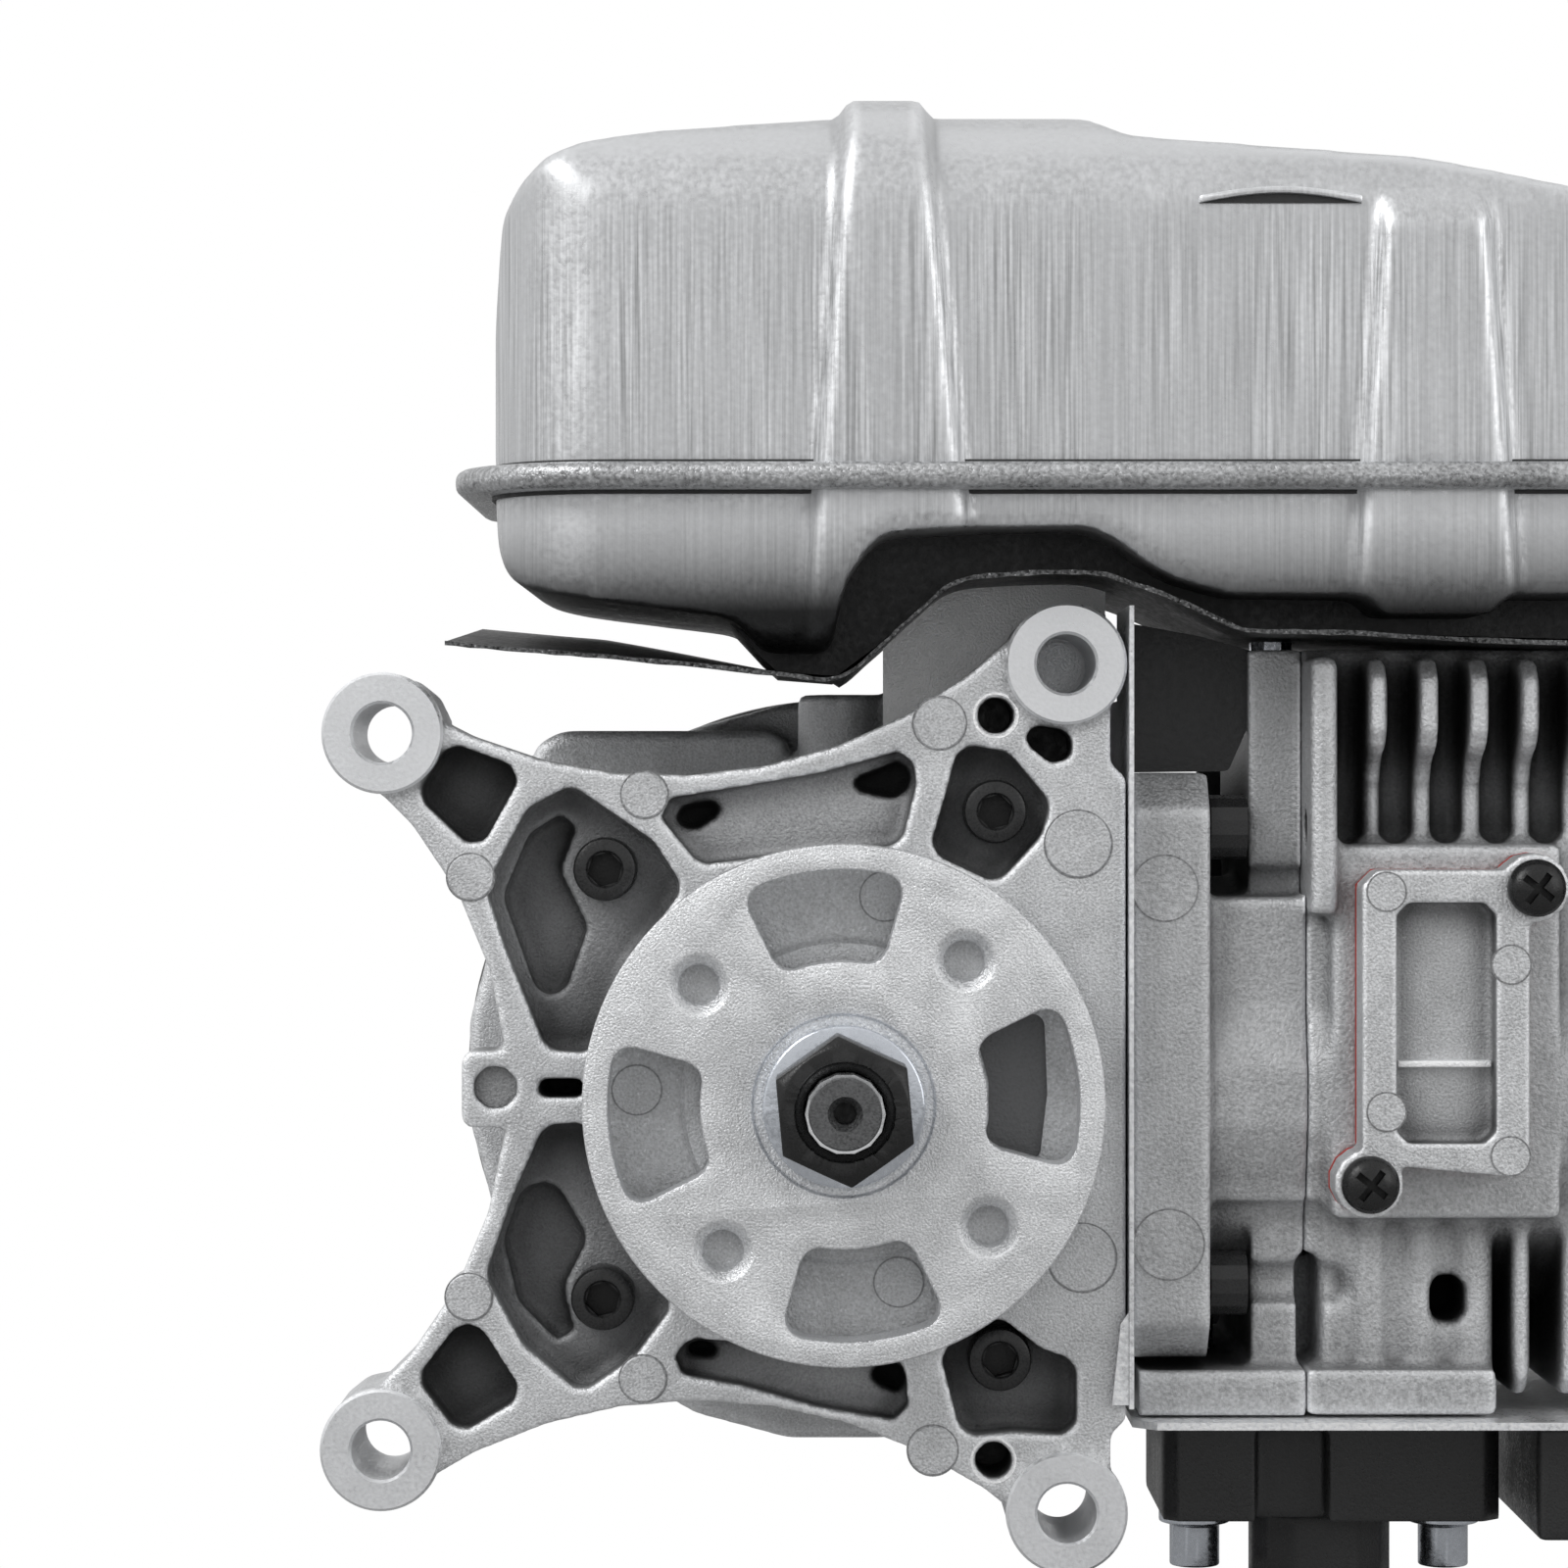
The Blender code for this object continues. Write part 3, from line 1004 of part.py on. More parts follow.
def throttle_shaft():
    """Cross shaft with a flat for its plate and a lever at its left end."""
    height = insulator_places()[2] - GAP - THROTTLE_DROP
    start = PORT_X - CARB_HALF_X - 5.0
    bar = rod("X", (SPLIT_Y, height), THROTTLE_SHAFT_R, start, PORT_X + CARB_HALF_X + 2.0)
    lever = prism(rounded([(SPLIT_Y - THROTTLE_LEVER, height - 3.0), (SPLIT_Y - THROTTLE_LEVER, height + 3.0),
                           (SPLIT_Y + 5.0, height + 5.5), (SPLIT_Y + 5.0, height - 5.5)], 2.8), "X", start,
                  start + 2.0)
    flat = box((PORT_X - CARB_BORE_R, SPLIT_Y - 5.0, height),
               (PORT_X + CARB_BORE_R, SPLIT_Y + 5.0, height + 5.0))
    eye = rod("X", (SPLIT_Y - THROTTLE_LEVER + 3.5, height), 1.6, start - 5.0, start + 5.0)
    return cut(joined(bar, lever), flat, eye)


def throttle_plate():
    height = insulator_places()[2] - GAP - THROTTLE_DROP + GAP
    return rod("Z", (PORT_X, SPLIT_Y), CARB_BORE_R - 0.45, height, height + THROTTLE_PLATE_T, ROUND)


def choke_shaft():
    """Choke's cross shaft, with its lever at the right end and half of it cut away for the plate."""
    height = insulator_places()[2] - GAP - CHOKE_DROP
    end = PORT_X + CARB_HALF_X + 5.0
    bar = rod("X", (SPLIT_Y, height), CHOKE_R, PORT_X - CARB_HALF_X - 2.0, end)
    lever = prism(rounded([(SPLIT_Y - CHOKE_LEVER, height - 3.5), (SPLIT_Y - CHOKE_LEVER, height + 3.5),
                           (SPLIT_Y + 4.0, height + 4.5), (SPLIT_Y + 4.0, height - 4.5)], 2.8), "X",
                  end - 2.0, end)
    grip = rod("X", (SPLIT_Y - CHOKE_LEVER + 4.0, height), 3.0, end - 1.0, end + 9.0)
    return joined(bar, lever, grip)


def filter_plan(inset):
    low = (PORT_X - FILTER_HALF_X + inset, SPLIT_Y - FILTER_HALF_Y + inset)
    high = (PORT_X + FILTER_HALF_X - inset, SPLIT_Y + FILTER_HALF_Y - inset)
    return rounded(rectangle(low, high), 9.0 - inset / 2.0, 4)


def filter_top():
    return insulator_places()[2] - GAP - CARB_HEIGHT - GAP


def air_filter_base():
    top = filter_top()
    plate = prism(filter_plan(0.0), "Z", top - FILTER_BASE_T, top)
    return cut(plate, hole("Z", (PORT_X, SPLIT_Y), CARB_BORE_R, top - 10.0, top + 5.0, ROUND))


def air_filter_element():
    top = filter_top() - FILTER_BASE_T - GAP
    height = FILTER_COVER_H - FILTER_WALL - 2.0 * GAP
    return prism(filter_plan(FILTER_WALL + 2.0), "Z", top - height + 2.0, top)


def air_filter_cover():
    top = filter_top() - FILTER_BASE_T - GAP
    body = prism(filter_plan(0.0), "Z", top - FILTER_COVER_H, top)
    inside = prism(filter_plan(FILTER_WALL), "Z", top - FILTER_COVER_H + FILTER_WALL, top + 5.0)
    slots = [box((PORT_X - 24.0 + 8.0 * i, 0.0, top - 24.0),
                 (PORT_X - 20.0 + 8.0 * i, 90.0, top - 12.0)) for i in range(6)]
    return cut(body, inside, *slots)


def build_intake(throttle, choke):
    finish("intake_plate", intake_plate(), "drawn")
    finish("insulator", insulator(), "black_plastic")
    top, block, face = insulator_places()
    for number, side in enumerate((-1, 1), 1):
        place = (PORT_X + side * INTAKE_BOLT_SPACING / 2.0, SPLIT_Y)
        bolt = socket_screw("Z", place, block - GAP, INTAKE_FACE + 11.0, INTAKE_HEAD_R, INTAKE_HEAD_T,
                            INTAKE_BOLT_R)
        finish(f"intake_bolt_{number}", bolt, "zinc")
    finish("carburettor", carburettor(), "cast")
    finish("throttle_shaft", throttle_shaft(), "steel", throttle)
    finish("throttle_plate", throttle_plate(), "machined", throttle)
    finish("choke_lever", choke_shaft(), "black_plastic", choke)
    finish("air_filter_base", air_filter_base(), "black_plastic")
    finish("air_filter_element", air_filter_element(), "foam")
    finish("air_filter_cover", air_filter_cover(), "black_plastic")


# ---------------------------------------------------------------- crank train
def crank_half(side):
    """One web with its shaft. The front shaft is stepped for the drive flange and its nut."""
    inner = SPLIT_Y + side * WEB_SPACE / 2.0
    outer = inner + side * WEB_T
    seals = chamber_places()[2]
    if side < 0:
        steps = [(MAIN_R, seals[0] - 1.2), (DRIVE_R, DISC_FRONT - GAP), (THREAD_R, SHAFT_END)]
    else:
        steps = [(MAIN_R, FLYWHEEL_Y - GAP), (DRIVE_R, FLYWHEEL_Y + FLYWHEEL_T - 2.0 * GAP),
                 (THREAD_R, FLYWHEEL_Y + FLYWHEEL_T + 8.0)]
    profile = [(0, inner), (WEB_R, inner), (WEB_R, outer), (MAIN_R, outer)]
    for index, (radius, end) in enumerate(steps):
        if index:
            profile.append((radius, steps[index - 1][1]))
        profile.append((radius, end))
    profile.append((0, steps[-1][1]))
    shaft = turned(profile, "Y", (0, 0), ROUND)
    if side < 0:
        return cut(shaft, rod("Y", (0, 0), 2.4, SHAFT_END - 5.0, SHAFT_END + 6.0))
    return shaft


def drive_flange():
    back = DISC_FRONT + DISC_T
    disc = turned([(DRIVE_R + GAP, DISC_FRONT), (DISC_R - 0.8, DISC_FRONT), (DISC_R, DISC_FRONT + 0.8),
                   (DISC_R, back - 0.8),
                   (DISC_R - 0.8, back), (DRIVE_R + GAP, back)], "Y", (0, 0), FINE)
    cutters = []
    for quarter in range(4):
        angle = DISC_TURN + 90.0 * quarter
        place = arc((0, 0), TAPPED_CIRCLE, angle + 45.0, angle + 46.0, 1)[0]
        chamfer = [(0, DISC_FRONT - 2.0), (TAPPED_CHAMFER + 2.0, DISC_FRONT - 2.0),
                   (TAPPED_R, DISC_FRONT + 1.4),
                   (TAPPED_R, back + 2.0), (0, back + 2.0)]
        cutters.append(turned(chamfer, "Y", place, SMALL))
        slot = rounded(slot_sector(SLOT_INNER, SLOT_OUTER, angle, SLOT_HALF), 1.5, 1)
        cutters.append(prism(slot, "Y", DISC_FRONT - 5.0, back + 5.0))
    return cut(disc, *cutters)


def flange_nut():
    start = DISC_FRONT - GAP
    flange = start - NUT_FLANGE_T
    hexa = flange - NUT_T
    body = joined(
        rod("Y", (0, 0), NUT_FLANGE_R, flange, start, ROUND),
        prism(hexagon((0, 0), NUT_CORNER_R), "Y", hexa, flange + 0.5),
        rod("Y", (0, 0), NUT_COLLAR_R, hexa - NUT_COLLAR_T, hexa + 0.5, ROUND),
    )
    return cut(body, hole("Y", (0, 0), THREAD_R + GAP, SHAFT_END, 0.0, ROUND))


def flywheel():
    """Disc with a rim that carries the magnets, a hub, and blades on its back for cooling air."""
    start, end = FLYWHEEL_Y, FLYWHEEL_Y + FLYWHEEL_T
    profile = [(DRIVE_R + GAP, start), (18.0, start), (18.0, start + 3.0), (34.0, start + 3.0), (34.0, start),
               (FLYWHEEL_R, start), (FLYWHEEL_R, start + 12.0), (FLYWHEEL_R - 2.0, start + 12.0),
               (20.0, start + 10.0),
               (15.0, end - GAP), (DRIVE_R + GAP, end - GAP)]
    disc = turned(profile, "Y", (0, 0), FINE)
    blades = []
    for index in range(BLADE_COUNT):
        blade = prism(rectangle((24.0, -1.0), (FLYWHEEL_R - 2.5, 1.0)), "Y", start + 9.0, end - 1.0)
        turn = Matrix.Rotation(math.tau * index / BLADE_COUNT, 4, "Y")
        bmesh.ops.transform(blade, matrix=turn, verts=blade.verts)
        blades.append(blade)
    return joined(disc, *blades)


def flywheel_nut():
    start = FLYWHEEL_Y + FLYWHEEL_T
    nut = prism(hexagon((0, 0), 9.2), "Y", start, start + 7.0)
    return cut(nut, hole("Y", (0, 0), THREAD_R + GAP, start - 5.0, start + 15.0))


def connecting_rod():
    half = WEB_SPACE / 2.0 - GAP
    low, high = SPLIT_Y - half, SPLIT_Y + half
    small = THROW + ROD_LENGTH
    body = joined(
        rod("Y", (THROW, 0), BIG_END_R, low, high, ROUND),
        rod("Y", (small, 0), SMALL_END_R, low + 0.5, high - 0.5, ROUND),
        box((THROW + BIG_END_R - 2.0, SPLIT_Y - 3.0, -ROD_SHANK / 2.0),
            (small - SMALL_END_R + 2.0, SPLIT_Y + 3.0, ROD_SHANK / 2.0)),
    )
    return cut(
        body,
        hole("Y", (THROW, 0), CRANKPIN_R + GAP, low - 5.0, high + 5.0, ROUND),
        hole("Y", (small, 0), WRIST_R + GAP, low - 5.0, high + 5.0),
    )


def piston():
    pin = THROW + ROD_LENGTH
    crown, skirt = pin + PISTON_CROWN, pin - PISTON_SKIRT
    groove = crown - 5.0
    inner = PISTON_R - PISTON_WALL
    profile = [(0, crown), (PISTON_R, crown), (PISTON_R, groove), (PISTON_R - RING_DEPTH - GAP, groove),
               (PISTON_R - RING_DEPTH - GAP, groove - RING_T - 2.0 * GAP),
               (PISTON_R, groove - RING_T - 2.0 * GAP),
               (PISTON_R, skirt), (inner, skirt), (inner, crown - 9.0), (inner - 3.0, crown - 8.0),
               (0, crown - 8.0)]
    body = turned(profile, "X", (SPLIT_Y, 0.0), ROUND)
    bosses = []
    for side in (-1, 1):
        near, far = SPLIT_Y + side * (WEB_SPACE / 2.0 + 1.0), SPLIT_Y + side * (inner + 1.0)
        bosses.append(rod("Y", (pin, 0), WRIST_R + 4.0, min(near, far), max(near, far), ROUND))
    return cut(joined(body, *bosses), hole("Y", (pin, 0), WRIST_R + GAP, 0.0, 80.0))


def piston_ring():
    start = THROW + ROD_LENGTH + PISTON_CROWN - 5.0 - RING_T - GAP
    return ring("X", (SPLIT_Y, 0.0), PISTON_R - RING_DEPTH, PISTON_R + 0.2, start, start + RING_T, ROUND)


def build_crank(crank, idler, slider):
    finish("crank_front_half", crank_half(-1), "steel", crank)
    finish("crank_rear_half", crank_half(1), "steel", crank)
    finish("drive_flange", drive_flange(), "machined", crank)
    finish("flange_nut", flange_nut(), "black_oxide", crank)
    finish("flywheel", flywheel(), "cast", crank)
    finish("flywheel_nut", flywheel_nut(), "zinc", crank)
    half = WEB_SPACE / 2.0 - GAP
    finish("crankpin", rod("Y", (THROW, 0), CRANKPIN_R, SPLIT_Y - half, SPLIT_Y + half, ROUND), "steel",
           idler)
    finish("connecting_rod", connecting_rod(), "steel", slider)
    finish("piston", piston(), "cast", slider)
    finish("piston_ring", piston_ring(), "steel", slider)
    pin = THROW + ROD_LENGTH
    wrist = ring("Y", (pin, 0), WRIST_R - 2.0, WRIST_R, SPLIT_Y - PISTON_R + 3.5, SPLIT_Y + PISTON_R - 3.5,
                 ROUND)
    finish("wrist_pin", wrist, "steel", slider)


# ---------------------------------------------------------------- starter
def starter_housing():
    start, inner_end = housing_start(), HOUSING_END - HOUSING_WALL
    face_r, inside_r = HOUSING_FACE_R - HOUSING_WALL, HOUSING_R - HOUSING_WALL
    outer = turned([(0, start), (HOUSING_R, start), (HOUSING_R, HOUSING_SHOULDER),
                    (HOUSING_R - 6.0, HOUSING_SHOULDER + 6.0),
                    (HOUSING_FACE_R + 3.0, HOUSING_SHOULDER + 10.0), (HOUSING_FACE_R, HOUSING_END),
                    (0, HOUSING_END)],
                   "Y", (0, 0), FINE)
    inner = turned([(0, start - 5.0), (inside_r, start - 5.0), (inside_r, HOUSING_SHOULDER - 1.0),
                    (inside_r - 5.0, HOUSING_SHOULDER + 4.0), (face_r + 3.0, HOUSING_SHOULDER + 8.0),
                    (face_r, inner_end),
                    (0, inner_end)], "Y", (0, 0), FINE)
    vents = []
    for index in range(VENT_COUNT):
        angle = 360.0 / VENT_COUNT * index + 18.0
        vents.append(prism(slot_sector(VENT_INNER, VENT_OUTER, angle, VENT_HALF_ANGLE, 2), "Y",
                           inner_end - 2.0, HOUSING_END + 5.0))
    post = rod("Y", (0, 0), STARTER_POST_R, PULLEY_Y, inner_end + 1.0, SMALL)
    outlet = rod("X", (PULLEY_Y + PULLEY_T / 2.0, -ROPE_COIL_R), ROPE_R + 1.0, 0.0, HOUSING_R + 10.0)
    window = box((38.0, start - 5.0, -17.0), (HOUSING_R + 5.0, 100.0, 17.0))
    lugs = [rod("Y", place, LUG_R, start, start + LUG_T, ROUND) for place in lug_places()]
    holes = [hole("Y", place, COVER_SCREW_R + GAP, start - 5.0,
                  start + LUG_T + 5.0) for place in lug_places()]
    flange_room = box((CYL_BASE_X - GAP, 0.0, FLANGE_BOTTOM - GAP),
                      (HOUSING_R + 10.0, FLANGE_BACK_Y + GAP, FLANGE_TOP + GAP))
    return joined(cut(joined(outer, *lugs), inner, *vents, outlet, window, flange_room, *holes), post)


def ignition_coil():
    """Laminated core with a moulded winding, facing the flywheel's rim."""
    near = FLYWHEEL_R + COIL_GAP
    core = prism(rectangle((near, -14.0), (near + 20.0, 14.0)), "Y", FLYWHEEL_Y + 1.0, FLYWHEEL_Y + 11.0)
    rim = rod("Y", (0, 0), near, 0.0, 150.0, FINE)
    legs = box((near - 2.0, FLYWHEEL_Y - 5.0, -8.0), (near + 10.0, FLYWHEEL_Y + 20.0, 8.0))
    winding = box((near + 9.0, FLYWHEEL_Y - 1.0, -11.0), (near + 22.0, FLYWHEEL_Y + 15.0, 11.0))
    outlet = rod("X", (FLYWHEEL_Y + 7.0, 0.0), 4.0, near + 20.0, near + 28.0)
    return joined(cut(core, rim, legs), winding, outlet)


def build_starter(pulley, handle):
    finish("starter_housing", starter_housing(), "cast")
    finish("ignition_coil", ignition_coil(), "black_plastic")
    for number, place in enumerate(lug_places(), 1):
        screw = pan_screw(place, housing_start() + LUG_T + GAP, housing_start() - 7.0)
        finish(f"starter_screw_{number}", screw, "black_oxide")
    end = PULLEY_Y + PULLEY_T
    bore = STARTER_POST_R + GAP
    groove = ROPE_COIL_R - 2.0 * ROPE_R - GAP
    wheel = [(bore, PULLEY_Y), (PULLEY_R, PULLEY_Y), (PULLEY_R, PULLEY_Y + 1.5), (groove, PULLEY_Y + 1.5),
             (groove, end - 1.5), (PULLEY_R, end - 1.5), (PULLEY_R, end), (bore, end)]
    finish("starter_pulley", turned(wheel, "Y", (0, 0), ROUND), "black_plastic", pulley)
    coil = ring("Y", (0, 0), groove + GAP, ROPE_COIL_R + ROPE_R, PULLEY_Y + 1.5 + GAP, end - 1.5 - GAP, ROUND)
    finish("starter_rope_coil", coil, "rope", pulley)
    spring = ring("Y", (0, 0), 9.0, SPRING_R, end + GAP, end + GAP + SPRING_T, ROUND)
    finish("recoil_spring", spring, "steel")
    middle = PULLEY_Y + PULLEY_T / 2.0
    grip = rod("Y", (HANDLE_X + HANDLE_R, -ROPE_COIL_R), HANDLE_R, middle - HANDLE_HALF,
               middle + HANDLE_HALF, ROUND)
    neck = turned([(0, HOUSING_R + 1.0), (3.5, HOUSING_R + 1.0), (5.0, HANDLE_X + 1.0),
                   (0, HANDLE_X + 5.0)], "X",
                  (middle, -ROPE_COIL_R), SMALL)
    finish("starter_handle", joined(grip, neck), "rubber", handle)


# ---------------------------------------------------------------- assembly
def main():
    for obj in list(bpy.data.objects):
        bpy.data.objects.remove(obj)
    crank = pivot("crank_axis", (0, 0, 0))
    idler = pivot("crankpin_axis", (THROW / 2.0, SPLIT_Y, 0), crank)
    slider = pivot("piston_axis", (THROW, SPLIT_Y, 0), idler)
    face = insulator_places()[2] - GAP
    throttle = pivot("throttle_axis", (PORT_X, SPLIT_Y, face - THROTTLE_DROP))
    choke = pivot("choke_axis", (PORT_X, SPLIT_Y, face - CHOKE_DROP))
    pulley = pivot("pulley_axis", (0, PULLEY_Y, 0))
    handle = pivot("handle_rest", (HANDLE_X, PULLEY_Y + PULLEY_T / 2.0, -ROPE_COIL_R))
    build_case()
    build_cylinder()
    build_silencer()
    build_intake(throttle, choke)
    build_crank(crank, idler, slider)
    build_starter(pulley, handle)


main()
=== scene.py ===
"""Fine surface of a small two-stroke engine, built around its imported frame.

Sizes are in millimetres and in the frame of the engine: X runs along the cylinder, Y into the
engine from its mounting pads, Z up. Meshes are scaled to metres when they become objects.
"""

import logging
import math
import random
from collections.abc import Callable, Sequence
from dataclasses import dataclass, replace
from enum import Enum

import bmesh
import bpy
import numpy as np
from mathutils import Matrix, Vector


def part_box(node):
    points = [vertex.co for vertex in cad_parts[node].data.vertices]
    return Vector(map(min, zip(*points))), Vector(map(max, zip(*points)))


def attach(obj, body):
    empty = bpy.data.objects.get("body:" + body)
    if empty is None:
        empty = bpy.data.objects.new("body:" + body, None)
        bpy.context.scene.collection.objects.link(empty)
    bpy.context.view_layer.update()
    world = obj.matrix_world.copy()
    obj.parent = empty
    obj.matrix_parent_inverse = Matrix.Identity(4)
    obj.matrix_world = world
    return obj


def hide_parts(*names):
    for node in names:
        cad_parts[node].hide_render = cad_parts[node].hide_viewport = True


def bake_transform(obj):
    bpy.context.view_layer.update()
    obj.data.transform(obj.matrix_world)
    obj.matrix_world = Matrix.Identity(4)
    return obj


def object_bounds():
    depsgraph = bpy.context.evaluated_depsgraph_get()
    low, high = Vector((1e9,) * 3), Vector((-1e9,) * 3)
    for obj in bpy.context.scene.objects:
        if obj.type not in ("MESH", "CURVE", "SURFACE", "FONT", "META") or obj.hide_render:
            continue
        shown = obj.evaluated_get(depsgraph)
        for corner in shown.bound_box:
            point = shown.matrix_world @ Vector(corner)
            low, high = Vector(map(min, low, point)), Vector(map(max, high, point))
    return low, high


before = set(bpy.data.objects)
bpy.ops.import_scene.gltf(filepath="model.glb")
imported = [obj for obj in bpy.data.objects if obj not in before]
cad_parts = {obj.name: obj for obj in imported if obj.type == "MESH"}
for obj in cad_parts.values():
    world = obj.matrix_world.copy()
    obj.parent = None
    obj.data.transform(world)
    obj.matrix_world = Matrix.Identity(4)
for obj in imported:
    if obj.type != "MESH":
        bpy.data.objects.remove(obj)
CAD_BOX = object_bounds()

LOG = logging.getLogger("engine")
MM = 0.001
FULL_TURN = math.tau
Point = tuple[float, float]
Place = tuple[float, float, float]


class Axis(Enum):
    """An axis of the engine's frame."""

    X = (1.0, 0.0, 0.0)
    Y = (0.0, 1.0, 0.0)
    Z = (0.0, 0.0, 1.0)

    def place(self, point: Point, along: float) -> Place:
        """A point given across the axis, at a place along it.

        Args:
            point: (y, z) across X, (x, z) across Y, (x, y) across Z.
            along: Place along the axis.

        Returns:
            The point in the engine's frame.
        """
        u, v = point
        return {"X": (along, u, v), "Y": (u, along, v), "Z": (u, v, along)}[self.name]


class Slot(Enum):
    """The record's material slots."""

    CAST = "cast_aluminium"
    MACHINED = "machined_aluminium"
    SHEET = "sheet_aluminium"
    DRAWN = "drawn_steel"
    SCORCHED = "scorched_steel"
    BRIGHT = "bright_steel"
    ZINC = "zinc_plated_steel"
    BLACK_OXIDE = "black_oxide_steel"
    PLASTIC = "black_plastic"
    RUBBER = "rubber_black"
    CERAMIC = "ceramic_white"
    CASE_GASKET = "case_gasket"
    TRANSFER_GASKET = "transfer_gasket"
    FOAM = "filter_foam"
    ROPE = "rope_white"


class Marks(Enum):
    """Tool marks that a surface shows."""

    NONE = "none"
    DRAWN = "drawn"
    TURNED = "turned"
    BRAIDED = "braided"


# ---------------------------------------------------------------- shader groups
class Graph:
    """A node tree with short calls for adding and linking nodes."""

    def __init__(self, tree: bpy.types.NodeTree) -> None:
        """Keeps the tree that the nodes go into."""
        self.tree = tree

    def node(self, kind: str, **settings: object) -> bpy.types.Node:
        """Adds a node and sets its properties.

        Args:
            kind: The node's type, without its ShaderNode prefix.
            **settings: Properties to set on it.

        Returns:
            The node.
        """
        made = self.tree.nodes.new("ShaderNode" + kind)
        for key, value in settings.items():
            setattr(made, key, value)
        return made

    def feed(self, socket: bpy.types.NodeSocket, value: object) -> None:
        """Links a socket to another one, or sets its value."""
        if isinstance(value, bpy.types.NodeSocket):
            self.tree.links.new(value, socket)
        else:
            socket.default_value = value

    def math(self, operation: str, *values: object, clamp: bool = False) -> bpy.types.NodeSocket:
        """Adds a Math node.

        Args:
            operation: Its operation.
            *values: Numbers or sockets, in order.
            clamp: Whether the result stays between 0 and 1.

        Returns:
            Its output.
        """
        made = self.node("Math", operation=operation, use_clamp=clamp)
        for socket, value in zip(made.inputs, values):
            self.feed(socket, value)
        return made.outputs[0]

    def vector(self, operation: str, *values: object) -> bpy.types.NodeSocket:
        """Adds a Vector Math node whose result is a vector.

        Args:
            operation: Its operation. SCALE takes a vector and a number.
            *values: Vectors or sockets, in order.

        Returns:
            Its vector output.
        """
        made = self.node("VectorMath", operation=operation)
        slots = [made.inputs[0], made.inputs["Scale"]] if operation == "SCALE" else made.inputs
        for socket, value in zip(slots, values):
            self.feed(socket, value)
        return made.outputs["Vector"]

    def spread(self, value: object, low: float, high: float) -> bpy.types.NodeSocket:
        """Maps a value from low..high to 0..1, held at both ends."""
        made = self.node("MapRange", clamp=True)
        for name, number in (("Value", value), ("From Min", low), ("From Max", high)):
            self.feed(made.inputs[name], number)
        return made.outputs["Result"]

    def noise(self, vector: object, scale: object, detail: float = 2.0) -> bpy.types.NodeSocket:
        """Adds a three-dimensional noise and returns its value, about 0.5."""
        made = self.node("TexNoise")
        for name, value in (("Vector", vector), ("Scale", scale), ("Detail", detail)):
            self.feed(made.inputs[name], value)
        return made.outputs["Fac"]

    def millimetres(self) -> bpy.types.NodeSocket:
        """The surface's own coordinates, in millimetres."""
        return self.vector("SCALE", self.node("TexCoord").outputs["Object"], 1.0 / MM)


def shader_group(
    name: str, inputs: Sequence[tuple[str, str, object]], outputs: Sequence[tuple[str, str]]
) -> tuple[Graph, bpy.types.Node, bpy.types.Node]:
    """Starts a shader node group with named sockets.

    Args:
        name: The group's name.
        inputs: (name, socket type, default value) of each input.
        outputs: (name, socket type) of each output.

    Returns:
        The group's graph, its input node and its output node.
    """
    tree = bpy.data.node_groups.new(name, "ShaderNodeTree")
    for label, kind, default in inputs:
        socket = tree.interface.new_socket(label, in_out="INPUT", socket_type="NodeSocket" + kind)
        socket.default_value = default
    for label, kind in outputs:
        tree.interface.new_socket(label, in_out="OUTPUT", socket_type="NodeSocket" + kind)
    return Graph(tree), tree.nodes.new("NodeGroupInput"), tree.nodes.new("NodeGroupOutput")


